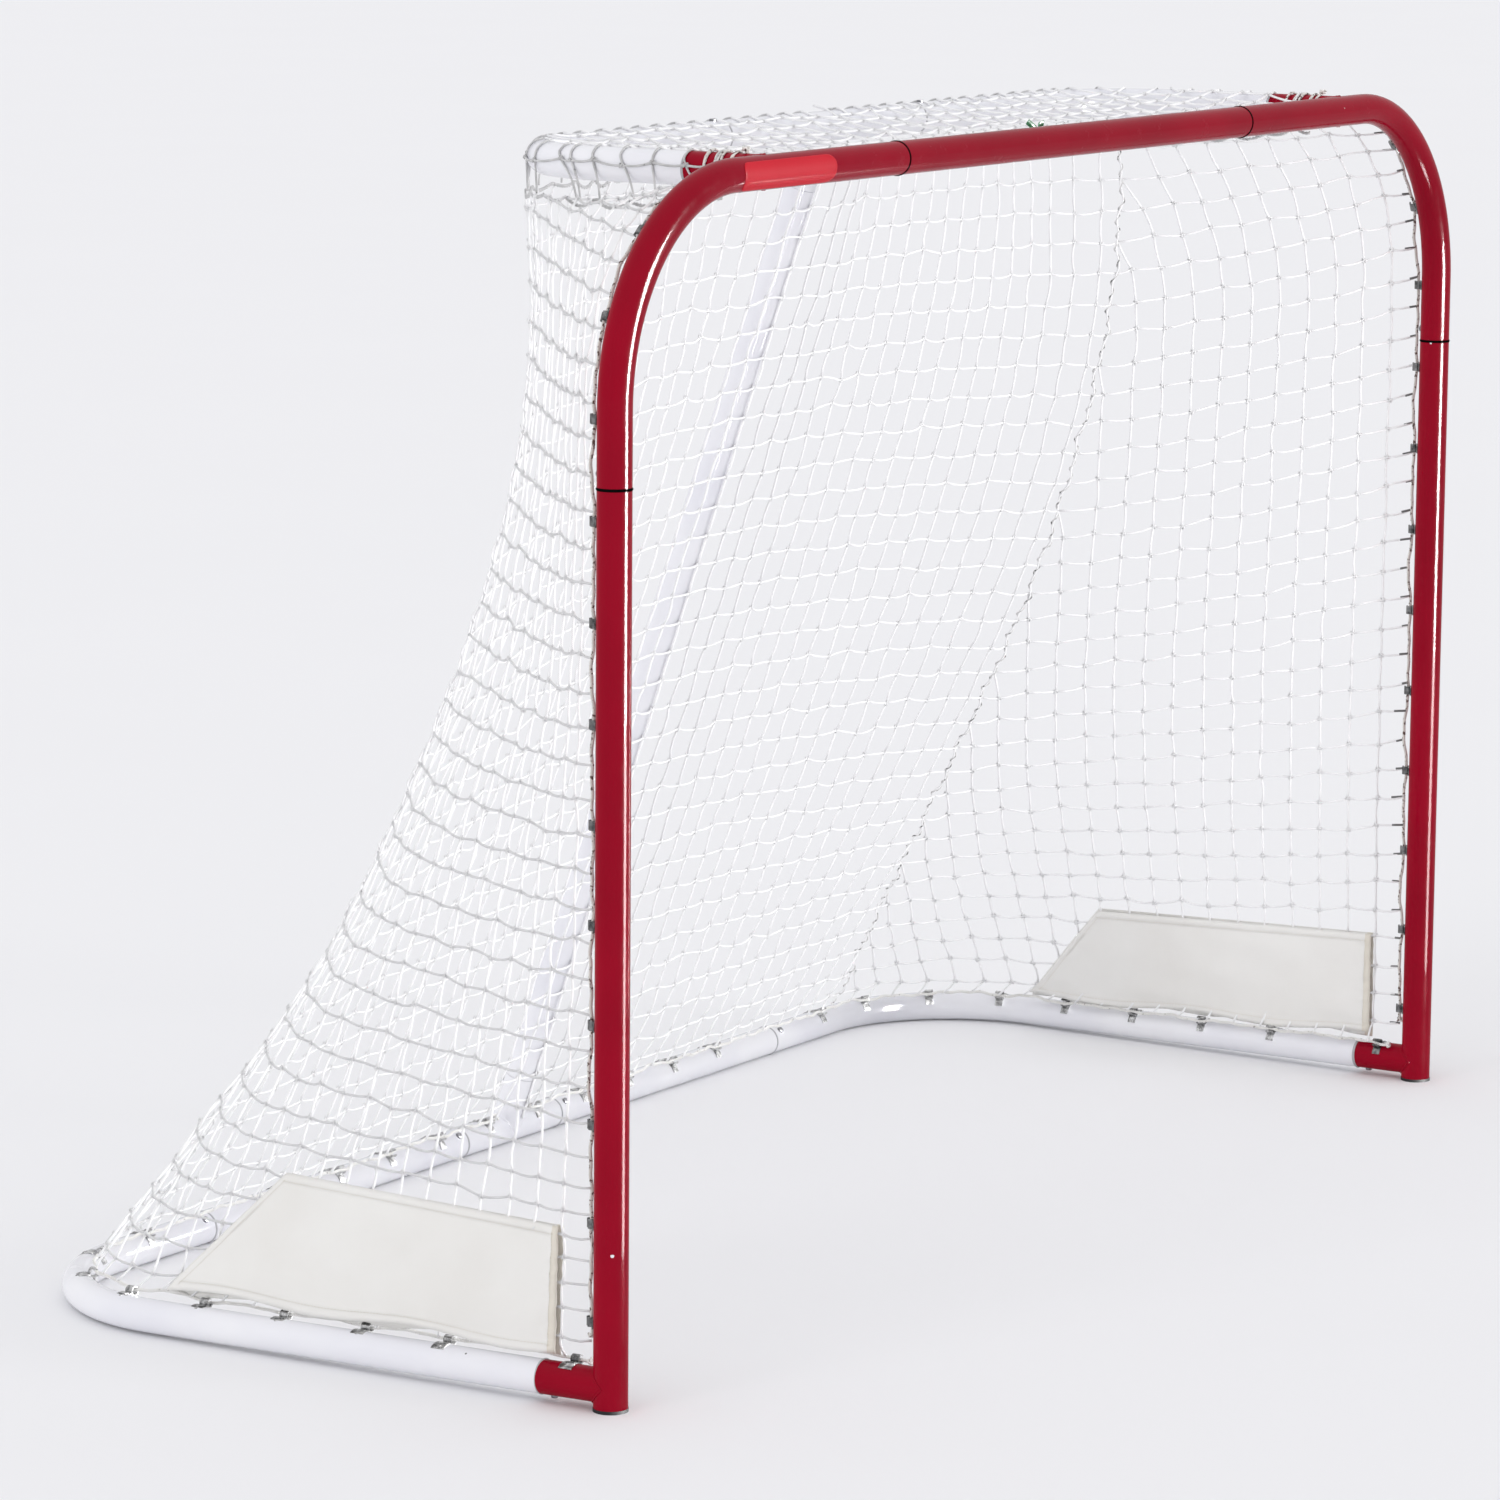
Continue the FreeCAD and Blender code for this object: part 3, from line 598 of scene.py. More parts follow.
def stopperKnot(place, direction):
    # an overhand knot: a trefoil tube about the rope's end
    a = fullTurn(36)
    flat = np.stack([np.sin(a) + 2 * np.sin(2 * a), np.cos(a) - 2 * np.cos(2 * a), -np.sin(3 * a)], axis=1)
    first, second = acrossBoth(direction, [0.3, 0.4, 0.86])
    path = place + flat @ np.stack([first, second, direction * 1.1]) * rope["knotR"] * 0.62
    normal = np.tile(direction, (len(a), 1))
    return tubeParts(path[None], rope["knotR"] * 0.62, 6, normal[None], closed=True)


def postStations(side):
    # a post's clips, without one on the stub at the floor
    at = clipStations(frontRail, [side + "_post_clips", side + "_corner_clips"])
    return at[np.minimum(at, frontLength - at) > 0.05]


barClips = clipStations(frontRail, ["crossbar_clips"])
allBase = clipStations(baseRail, ["left_base_clips", "rear_clips", "right_base_clips"])
leftBase = np.concatenate([[rope["stubClip"]], allBase[allBase < baseLength / 2]])
rightBase = np.concatenate([allBase[allBase > baseLength / 2], [baseLength - rope["stubClip"]]])
ropes = {
    "leftPost": ropeAlong("left_post_rope", frontRail, postStations("left"), rope["postBulge"], 3),
    "rightPost": ropeAlong("right_post_rope", frontRail, postStations("right"), rope["postBulge"], 4),
    "bar": ropeAlong("crossbar_rope", frontRail, barClips, rope["barBulge"], 5),
    "leftBase": ropeAlong("left_base_rope", baseRail, leftBase, rope["baseBulge"], 6, baseCord),
    "rightBase": ropeAlong("right_base_rope", baseRail, rightBase, rope["baseBulge"], 7, baseCord),
}
print("ropes laid")


# Nets

net = {
    "cordR": 0.00138,
    "mesh": 0.0375,             # between knots
    "rows": 33,                 # from the base to the shelf
    "shelfRows": {"left": 6, "right": 4},   # more rows of each side that end on the shelf's side tube
    "frontRow": 0.03646,        # between rows along the post
    "slip": {"left": 0.066, "right": 0.0},  # how far the rows have slid down the post
    "firstColumn": 0.030,       # from the net's outline to the first knots
    "lastRoom": 0.30,           # least part of a mesh between a row's last knot and the seam
    "topFirst": 0.020,          # from the top net's outline to its first knots
    "hang": 0.040,              # the nets' top cord, off the shelf tube's centre line
    "hangGap": 0.0045,          # off the tube's surface near the crossbar
    "hangGrow": (0.045, 0.09),  # it leaves that surface this far behind the crossbar, over this length
    "wayAtPole": math.radians(195),     # its way off the tube, from straight up
    "wayTurn": math.radians(43),        # how much less that is elsewhere
    "wayGrow": (0.03, 0.16),    # it starts to turn this far from the pole, over this length
    "seamAt": math.radians(36),     # where the seam leaves the shelf's corner
    "seamFootX": 0.742,         # where it meets the base's rear tube
    "poleLean": math.radians(15),   # from the shelf's rear tube down to the middle of the back net's top
    "postStart": 0.052,         # where the rows start, along the post
    "baseStart": 0.030,         # where the columns start, along the base
    "sag": 0.010,
    "topSag": 0.011,
    "loose": 0.0012,            # how far a knot strays along the net
    "topLoose": 0.0014,
    "zigzag": 0.0012,           # knots sit this far up and down in turn
    "slack": (0.0006, 0.0022),  # how far a strand sags between knots
    "sway": 0.0009,             # how far it strays to any side
    "endShade": (0.22, 0.50),    # share of a row's last stretch under the dark cord of painted shade
    "knotTurn": 0.5,            # how far a knot turns in the net's face
}
seamPoints = {                  # between back and side: (x, y, z) from low to high, mirrored for the left
    "knee": (0.706, 0.275, 0.190), "hip": (0.664, 0.160, 0.375), "waist": (0.650, 0.034, 0.620),
    "shoulder": (0.640, -0.047, 0.840), "neck": (0.642, -0.085, 1.020),
}


def grown(distance, start, length):
    return eased((distance - start) / length)


def hangOf(at):
    # the nets' top cord hangs below the shelf tube, but comes up to it near the crossbar
    low = tubes["tubeR"] + net["hangGap"]
    return low + (net["hang"] - low) * grown(np.minimum(at, shelfLength - at), *net["hangGrow"])


def hangWay(at):
    # angle from straight up, over the tube's outer face: below that face, but at the pole past its underside
    return net["wayAtPole"] - net["wayTurn"] * grown(np.abs(at - shelfLength / 2), *net["wayGrow"])


def overTube(at, angle):
    # the way off the shelf tube at an angle from straight up, turned outwards
    outward = unit(np.cross(up, unit(wayOf(shelfRail, at))))
    return turned(angle, up, outward)


def hangPoint(at):
    return onLine(shelfRail, at) + hangOf(at)[..., None] * overTube(at, hangWay(at))


def rearFoot(x):
    # where the back net meets the base tube's rope
    lean = tubes["baseLean"]
    return np.array([x, tubes["rearY"] - rope["netEdge"] * math.sin(lean),
                     tubes["tubeR"] + rope["netEdge"] * math.cos(lean)])


def seamLine():
    topAt = tubes["shelfY"] - tubes["frontY"] - tubes["shelfBendR"] * (1 - net["seamAt"])
    top = mirrorX(hangPoint(np.array([topAt])))[0]
    return smoothLine([rearFoot(net["seamFootX"])] + list(seamPoints.values()) + [top])


seam = seamLine()
seamAlong = lengths(seam)
seamFoot = nearestOn(baseRail, seam[:1] * [-1, 1, 1])[0]
shelfSeam = nearestOn(shelfRail, seam[-1:] * [-1, 1, 1])[0]


def frontAt(v, side):
    # a row's place along the post: level steps, less the slip, which comes in over the lowest rows
    v = np.atleast_1d(v)
    level = net["postStart"] + v * (net["rows"] + net["shelfRows"][side]) * net["frontRow"]
    return level - net["slip"][side] * eased(v / 0.2)


def frontEdge(v, side):
    return mirrorX(railPoint(frontRail, frontAt(v, side), rope["netEdge"]))


def alongBase(u):
    # from just behind the post to the seam's foot
    return net["baseStart"] + u * (seamFoot - net["baseStart"])


def baseEdge(u):
    return mirrorX(railPoint(baseRail, alongBase(u), rope["netEdge"]))


def shelfEdge(at):
    return mirrorX(hangPoint(np.atleast_1d(at)))


def onSeam(v):
    return pick(seamAlong, seam, v * seamAlong[-1])


def backEdge(v, side):
    # the seam from base to shelf, then forwards under the shelf's side tube
    v = np.atleast_1d(v)
    shelfRows = net["shelfRows"][side]
    split = net["rows"] / (net["rows"] + shelfRows)
    low = onSeam(np.clip(v / split, 0, 1))
    high = shelfEdge(shelfSeam - np.clip((v - split) / (1 - split), 0, 1) * shelfRows * net["mesh"])
    return np.where((v <= split)[..., None], low, high)


def sideRow(v, side):
    # one level line of the side net from the post to the seam: its chord, plus the base edge's bend, which
    # fades out by half height, less a parabola's sag, which is deepest a little below that
    u = np.linspace(0, 1, 160)[:, None]
    a, b = frontEdge(v, side)[0], backEdge(v, side)[0]
    chord = a + (b - a) * u
    base = baseEdge(u[:, 0])
    bulge = base - (base[:1] + (base[-1:] - base[:1]) * u)
    fade = max(0.0, 1 - v / 0.52) ** 1.3
    drop = net["sag"] * 4 * u * (1 - u) * math.sin(math.pi * min(1.0, max(0.0, v * 1.15))) ** 0.7
    return chord + bulge * fade - up * drop


def middleLine():
    # the back net's own middle, just in front of the pole
    lean = net["poleLean"]
    top = poleHead - net["hang"] * np.array([0, math.sin(lean), math.cos(lean)])
    foot = rearFoot(0)
    line = foot + (top - foot) * np.linspace(0, 1, 200)[:, None]
    front = np.cross(poleWay, [-1.0, 0.0, 0.0])
    front = front * np.sign(-front[1])
    short = tubes["tubeR"] + 0.0035 - (line - poleFoot) @ front
    ease = np.clip(np.minimum(np.arange(200), np.arange(200)[::-1]) / 12, 0, 1)[:, None]
    return line + front * np.maximum(short, 0)[:, None] * ease


middle = middleLine()
middleAlong = lengths(middle)


def fromPole(u):
    # along the shelf tube from the pole to the seam
    return shelfLength / 2 - u * (shelfLength / 2 - shelfSeam)


def backRow(v):
    # one level line of the back net from its middle to the seam: its chord, bent as a parabola low down
    # and as the shelf's edge high up
    u = np.linspace(0, 1, 160)[:, None]
    a, b = pick(middleAlong, middle, v * middleAlong[-1]), onSeam(v)
    top = shelfEdge(fromPole(u[:, 0]))
    high = max(0.0, (v - 0.55) / 0.45) ** 1.5
    low = (b - a) * [0, 1, 1] * (u * u - u)
    return a + (b - a) * u + low * (1 - high) + (top - (top[:1] + (top[-1:] - top[:1]) * u)) * high


def knotGrid(rowOf, rows, firstGap, draw, still):
    # knots on rows and columns: a column keeps one distance from the first edge, a row has as many as fit
    lines = [rowOf((j + 0.5) / rows) for j in range(rows)]
    limits = [lengths(line)[-1] for line in lines]
    fits = [int(max(0.0, (limit - firstGap - net["mesh"] * net["lastRoom"])) / net["mesh"]) + 1
            for limit in limits]
    places = np.full((rows, max(fits), 3), np.nan)
    for j, line in enumerate(lines):
        places[j, :fits[j]] = pick(lengths(line), line, firstGap + net["mesh"] * np.arange(fits[j]))
    wander = draw.normal(0, net["loose"], places.shape)
    wander[..., 1] *= 0.35
    wander[..., 2] += net["zigzag"] * ((np.indices(places.shape[:2]).sum(axis=0) % 2) * 2 - 1)
    if still:
        wander[:, 0] = 0
    return places + wander, fits, limits, lines[0][-1] - lines[0][0]


def strandPaths(a, b, draw):
    # four points between two ends; the inner ones hang a little
    t = np.linspace(0, 1, 4)[None, :, None]
    path = a[:, None] + (b - a)[:, None] * t
    hang = 4 * t * (1 - t)
    slack = draw.uniform(*net["slack"], (len(a), 1, 1))
    level = 1 - np.abs(unit(b - a)[:, 2])[:, None, None]
    path = path - up * hang * slack * level
    sway = draw.normal(0, net["sway"], (len(a), 1, 3))
    return path + sway * hang


def knotParts(centres, first, second):
    # a figure of eight, tied about each crossing
    a = fullTurn(10)
    size = np.array([0.0026, 0.0020, 0.0012])
    loop = np.stack([np.cos(a), np.sin(2 * a), np.sin(a)], axis=1) * size
    third = np.cross(first, second)
    axes = np.stack([first, second, third], axis=1)
    paths = centres[:, None] + np.einsum("kc,ncd->nkd", loop, axes)
    return tubeParts(paths, net["cordR"] * 0.95, 4, np.repeat(third[:, None], 10, axis=1), closed=True)


def netMesh(name, paths, centres, first, second, rowShade):
    # one net: its knots, and the strands that are marked, take darker finishes that are painted shade
    strands, knots = tubeParts(paths, net["cordR"], 6), knotParts(centres, first, second)
    whole = joined([strands, knots])
    piece = quadMesh(name, whole, netCord)
    walls = (paths.shape[1] - 1) * 6
    caps = len(strands[1]) // len(paths) - walls
    index = np.concatenate([np.repeat(2 * rowShade, walls), np.tile(2 * rowShade, caps), np.ones(len(knots[1]))])
    addFinishes(piece, (netKnotShaded, netRowShaded), index)
    print(name, "knots", len(centres), "strands", len(paths), "faces", 2 * len(whole[1]))
    return piece


def shaded_ends(name, a, b, draw):
    # each row's last stretch before the rope, covered by a dark cord that is painted shade
    reach = draw.uniform(*net["endShade"], (len(a), 1))
    t = np.linspace(0, 1, 3)[None, :, None]
    paths = clearOfTubes(b[:, None] + (a - b)[:, None] * reach[:, None] * t, net["cordR"] + 0.0008)
    quadMesh(name, tubeParts(paths, net["cordR"] * 1.08, 6), endShadeCord)


def startsAndEnds(strands):
    # strands as two arrays, of their starts and of their ends
    return [np.concatenate([strand[k] for strand in strands]) for k in (0, 1)]


def panel(name, rowOf, rows, firstGap, seed, mirror, ends, shadedRows=False, shared=""):
    # a soft net: knots, the strands between them, and strands to the places that ends gives on its edges
    # a first column that two nets share is still in both, and isn't drawn in the one where it's "skipped"
    draw = np.random.default_rng(seed)
    places, fits, limits, rowWay = knotGrid(rowOf, rows, firstGap, draw, shared)
    first = 1 if shared == "skipped" else 0
    strands, endShade = [], []

    def tie(a, b, isRow=False):
        strands.append((np.atleast_2d(a), np.atleast_2d(b), isRow))

    def shareOf(j):
        return (firstGap + net["mesh"] * np.arange(first, fits[j])) / limits[j]

    for j in range(rows):
        n, v = fits[j], (j + 0.5) / rows
        tie(places[j, :n - 1], places[j, 1:n], True)
        # the strands to the post get the dark cord of painted shade
        if "front" in ends:
            tie(places[j, 0], ends["front"](v), True)
            endShade.append(strands[-1])
        tie(places[j, n - 1], ends["seam"](v), True)
        if j:
            both = min(n, fits[j - 1])
            tie(places[j - 1, first:both], places[j, first:both])
            for i in range(both, fits[j - 1]):
                share = np.interp(-(firstGap + net["mesh"] * i), [-limits[j - 1], -limits[j]], [0, 1])
                tie(places[j - 1, i], ends["seam"]((j - 0.5 + share) / rows))
    tie(places[0, first:fits[0]], ends["foot"](shareOf(0)))
    tie(places[-1, first:fits[-1]], ends["top"](shareOf(-1)))
    if endShade and not mirror:
        shaded_ends(name.replace("netting", "shaded_ends"), *startsAndEnds(endShade), draw)
    paths = strandPaths(*startsAndEnds(strands), draw)
    knots = places[:, first:].reshape(-1, 3)
    knots = knots[np.isfinite(knots[:, 0])]
    rowWay = unit(np.tile(rowWay, (len(knots), 1)))
    columnWay = unit(up - rowWay * rowWay[:, 2:])
    turn = draw.uniform(-net["knotTurn"], net["knotTurn"], (len(knots), 1))
    leanWay = unit(rowWay + columnWay * turn)
    crossWay = unit(columnWay - rowWay * turn)
    paths = clearOfTubes(paths, net["cordR"] + 0.0006)
    knots = clearOfTubes(knots, net["cordR"] * 2.4)
    if mirror:
        paths, knots, leanWay, crossWay = (mirrorX(part) for part in (paths, knots, leanWay, crossWay))
    # the marked rows take the darker cord: painted shade
    rowShade = np.repeat([shadedRows and isRow for _, _, isRow in strands], [len(a) for a, _, _ in strands])
    return netMesh(name, paths, knots, leanWay, crossWay, rowShade.astype(int))


def onRight(side, kind, at):
    # places on a side's post or base rope, on the right-hand side for both
    if side == "left":
        return mirrorX(ropes["left" + kind](at))
    return ropes["right" + kind]({"Post": frontLength, "Base": baseLength}[kind] - at)


def sideNet(side, seed):
    # worked out on the right-hand side and mirrored for the left
    rows, start = net["rows"] + net["shelfRows"][side], net["topFirst"] + rope["netEdge"]
    end = shelfSeam - net["shelfRows"][side] * net["mesh"]
    ends = {"front": lambda v: onRight(side, "Post", frontAt(v, side)),
            "foot": lambda u: onRight(side, "Base", alongBase(u)),
            "top": lambda u: shelfEdge(start + u * (end - start)),
            "seam": lambda v: backEdge(v, side)}
    # the left side net's rows are drawn darker: painted shade
    piece = panel(side + "_side_netting", lambda v: sideRow(v, side), rows, net["firstColumn"], seed,
                  side == "left", ends, shadedRows=side == "left")
    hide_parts(side + "_side_net")


def backHalf(side, seed):
    ends = {"foot": lambda u: onRight(side, "Base", baseLength / 2 - u * (baseLength / 2 - seamFoot)),
            "top": lambda u: shelfEdge(fromPole(u)),
            "seam": onSeam}
    piece = panel("back_netting_" + side, backRow, net["rows"], 0.0, seed, side == "left", ends,
                  shared={"left": "drawn", "right": "skipped"}[side])
    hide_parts("back_net")


for side, seed in (("left", 11), ("right", 12)):
    sideNet(side, seed)
    backHalf(side, seed + 10)


def topNet():
    # the level net: tied to the crossbar's rope, it rises to the shelf tube's top, with a little slack
    draw = np.random.default_rng(31)
    mesh, bend = net["mesh"], tubes["shelfBendR"]
    front, rear, half = tubes["frontY"], tubes["shelfY"], tubes["shelfX"]
    seatR = tubes["tubeR"] + net["cordR"] + 0.0004
    start = front + rope["netEdge"] + net["topFirst"]
    nx, ny = int((half - 0.012) / mesh), int((rear - 0.010 - start) / mesh) + 1
    x = mesh * np.arange(-nx, nx + 1)
    gx, gy = np.meshgrid(x, start + mesh * np.arange(ny), indexing="ij")
    outX, outY = np.abs(gx) - (half - bend), gy - (rear - bend)
    inside = (outX <= 0) | (outY <= 0) | (np.hypot(outX, outY) < bend - 0.014)
    depth = (gy - front) / (rear - front)
    aside = (np.abs(gx) / half) ** 5 * np.minimum(1, depth * 4)
    sag = net["topSag"] * 4 * depth * (1 - depth) * (1 - (np.abs(gx) / half) ** 4)
    z = tubes["barZ"] + seatR * (1 - (1 - depth) * (1 - aside)) - sag
    p = np.stack([gx, gy, z], axis=-1) + draw.normal(0, net["topLoose"], gx.shape + (3,)) * [1, 1, 0.8]
    across, backward = inside[1:] & inside[:-1], inside[:, 1:] & inside[:, :-1]
    a = [p[:-1][across], p[:, :-1][backward], p[:, 0]]
    b = [p[1:][across], p[:, 1:][backward], ropes["bar"](frontLength / 2 + x)]
    seats = []
    for i in range(len(x)):
        last = np.flatnonzero(inside[i])[-1]
        a.append(p[i, last:last + 1])
        seats.append(p[i, last] + [0, mesh * 0.6, 0])
    for j in range(ny):
        along = np.flatnonzero(inside[:, j])
        for k, way in ((along[0], -1), (along[-1], 1)):
            a.append(p[k:k + 1, j])
            seats.append(p[k, j] + [way * mesh * 0.6, 0, 0])
    at = nearestOn(shelfRail, np.array(seats))
    b.append(onLine(shelfRail, at) + up * seatR)
    paths = clearOfTubes(strandPaths(np.concatenate(a), np.concatenate(b), draw), net["cordR"] + 0.0003)
    knots = clearOfTubes(p[inside], net["cordR"] * 2)
    first, second = (np.tile(way, (len(knots), 1)) for way in ([1.0, 0.0, 0.0], [0.0, 1.0, 0.0]))
    piece = netMesh("top_netting", paths, knots, first, second, np.zeros(len(paths), int))
    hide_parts("top_net")
    return np.sort(at)


# Cords over the shelf tube and down the seams

shelfLace = {"cordR": 0.0012, "edgeR": 0.0011, "scallop": 0.009, "slant": 0.020, "poleRoom": 0.028}


def overShelf(at, share):
    # from the tube's top (angle 0) round its outer face, then straight on to the nets' top cord below it
    seat = tubes["tubeR"] + shelfLace["cordR"] + 0.0004
    hangAt = hangWay(at[-1:])[0]
    angle = hangAt * share
    tangentAt = np.arccos(seat / hangOf(at))
    fromHang = hangAt - angle
    radius = np.where(fromHang < tangentAt, seat / np.cos(tangentAt - fromHang), seat)
    return onLine(shelfRail, at) + radius[:, None] * overTube(at, angle)


def shelfCords(places):
    # the top net's strands go on over the tube and slant down to the other nets, across a row of knots
    draw = np.random.default_rng(37)
    k, poleAt = shelfLace, shelfLength / 2
    near = np.abs(places - poleAt) < k["poleRoom"]
    places = np.where(near, poleAt + np.sign(places - poleAt + 1e-6) * k["poleRoom"], places)
    share = np.linspace(0, 1, 18)
    paths, rowAt = [], []
    for at in places:
        slant = k["slant"] * draw.uniform(0.2, 1.3) * (1 if at < poleAt else -1)
        slanted = at - slant * np.maximum(0, share * 1.6 - 0.6) * (at > 0.06)
        paths.append(overShelf(slanted, share))
        rowAt.append(slanted[len(share) // 2])
    skew = np.tile(up + [0.31, 0.22, 0], (len(paths), len(share), 1))
    cords = tubeParts(np.array(paths), k["cordR"], 6, skew)
    # the strands over the tube take a greyer cord than the net: partly painted shade
    quadMesh("shelf_cords", joined([cords, *shelfRow(rowAt, draw)]), shelfCordShaded)
    each = [lengths(path)[-1] for path in paths]
    print("shelf cords", len(places), "length", round(float(min(each)), 3), "to", round(float(max(each)), 3))


def shelfRow(rowAt, draw):
    # a cord with a knot at each of these places, which sags in between
    k, steps = shelfLace, np.arange(len(rowAt))
    rowAngle = draw.uniform(1.25, 1.65, len(rowAt))
    step = np.linspace(0, steps[-1], 8 * steps[-1] + 1)
    rowAt, rowAngle = (np.interp(step, steps, values) for values in (rowAt, rowAngle))
    way = overTube(rowAt, rowAngle + 0.10 * np.sin(math.pi * (step % 1)))
    row = onLine(shelfRail, rowAt) + (tubes["tubeR"] + 2.2 * k["cordR"]) * way
    tangent = wayAlong(row)
    tell("shelf row", row)
    return (tubeParts(row[None], k["cordR"], 6, way[None]),
            knotParts(row[::8], tangent[::8], np.cross(way, tangent)[::8]))


def shelfEdgeCords():
    # the nets' top cord below the shelf tube, in uneven scallops between the knots
    k = shelfLace
    at = np.arange(0.045, shelfLength / 2 - 0.002, 0.0015)
    dip = np.abs(np.sin(math.pi * at / net["mesh"] + 0.6 * np.sin(at * 23)))
    dip = dip * k["scallop"] * (0.7 + 0.3 * np.sin(at * 41))
    for side, place in (("left", at), ("right", shelfLength - at)):
        edge = clearOfTubes(hangPoint(place) - up * dip[:, None], 0.003)
        cord = twisted(edge, unit(np.cross(wayOf(shelfRail, place), up)), 2, k["edgeR"], 0.009)
        # its grey cord is partly painted shade
        quadMesh(side + "_shelf_edge_cord", cord, shelfCordShaded)
    tell("edge cord", edge)


stubTie = {"from": 0.024, "to": 0.066, "turns": 7, "cordR": 0.0013}


def stubTies():
    # where the crossbar's net begins, a few turns of lacing round each short stub
    share = np.linspace(0, 1, 150)
    at = stubTie["from"] + (stubTie["to"] - stubTie["from"]) * (share + 0.09 * np.sin(share * 17))
    radius = tubes["tubeR"] + stubTie["cordR"] + 0.0002 + 0.0022 * np.maximum(0, np.sin(share * 23)) ** 3
    for side, place in (("left", at), ("right", shelfLength - at)):
        way = overTube(place, -2 * math.pi * stubTie["turns"] * share)
        path = onLine(shelfRail, place) + radius[:, None] * way
        cord = tubeParts(path[None], stubTie["cordR"], 6, unit(wayOf(shelfRail, place))[None])
        knot = stopperKnot(path[0] + way[0] * 0.003, way[0])
        quadMesh(side + "_stub_tie", joined([cord, knot]), laceCord)
    tell("stub tie", path)


shelfCords(topNet())
shelfEdgeCords()
stubTies()


seamLace = {"cordR": 0.0008, "wrapR": 0.0024, "step": 0.0185, "borderR": 0.0012, "apart": 0.0014}


def seamLacing():
    # both nets' border cords side by side, and a cord wound round them, darker on the right
    k, line = seamLace, evenly(seam, 0.0012)
    tell("seam border", line)
    along = lengths(line)
    first, second = acrossBoth(wayAlong(line), [0.85, 0.52, 0.0])
    waver = 0.0022 * np.sin(along * 71 + 1.3) + 0.0016 * np.sin(along * 157)
    line = clearOfTubes(line + first * waver[:, None], 0.006)
    borders = np.stack([line + second * k["apart"], line - second * k["apart"]])[:, ::3]
    border = tubeParts(borders, k["borderR"], 6, np.stack([first, first])[:, ::3])
    angle = 2 * math.pi * along / k["step"] + 0.9 * np.sin(along * 60)
    wrap = line + k["wrapR"] * turned(angle, first, second)
    wound = tubeParts(wrap[None], k["cordR"], 6, second[None])
    quadMesh("left_seam_border", mirrored(border), netCord)
    quadMesh("left_seam_lacing", mirrored(wound), netCord)
    quadMesh("right_seam_border", border, netCord)
    quadMesh("right_seam_lacing", wound, seamCord)
    tell("seam lacing", wrap)


seamLacing()
print("nets laced")


# Canvas skirts

skirt = {
    "low": 0.027, "high": 0.158,            # above the base tube's centre line
    "front": 0.064, "backLow": 0.560, "backHigh": 0.440,    # behind the post's centre line
    "cloth": 0.0007, "hem": 0.009, "hemRise": 0.0007,
    "off": 0.0046, "offEdge": 0.0026,       # from the net's middle to each ply
    "wrinkle": 0.00114, "pucker": 0.0016,
    "frontHem": 0.016, "lowHem": 0.014,     # how far the puckers reach in
    "stitch": 0.0042, "stitchR": 0.00022,
}


def hemmed(count, hem, length):
    # places along a side, close together at the hem's step
    step = 0.0006 / length
    edge = hem / length
    inner = np.linspace(edge + step, 1 - edge - step, count)
    return np.concatenate([[0, edge * 0.5, edge], inner, [1 - edge, 1 - edge * 0.5, 1]])


def skirtGrid(side, aLine, bLine):
    # points on the side net: a is the share of the cloth's width, along a row, and b that of its height
    k = skirt
    rows = np.linspace(-0.03, 0.24, 28)
    table = np.zeros((len(rows), len(bLine), len(aLine), 3))
    for row, v in enumerate(rows):
        line = sideRow(v, side)
        along = lengths(line)
        for j, b in enumerate(bLine):
            table[row, j] = pick(along, line, k["front"] - rope["netEdge"] + aLine * plyWidth(b))
    depth = (table[..., 1] - tubes["frontY"]) / (tubes["rearY"] - tubes["frontY"])
    rise = table[..., 2] - (tubes["baseRise"] + (tubes["tubeR"] - tubes["baseRise"]) * depth)
    wanted = np.broadcast_to((k["low"] + bLine * (k["high"] - k["low"]))[:, None], rise.shape[1:])
    upTo = np.clip((rise < wanted).sum(axis=0), 1, len(rows) - 1)
    i, j = np.indices(wanted.shape)
    below, above = rise[upTo - 1, i, j], rise[upTo, i, j]
    share = ((wanted - below) / (above - below))[..., None]
    return table[upTo - 1, i, j] * (1 - share) + table[upTo, i, j] * share


def plyWidth(b):
    # the cloth narrows from its foot to its top
    low, high = skirt["backLow"] - skirt["front"], skirt["backHigh"] - skirt["front"]
    return low + (high - low) * b


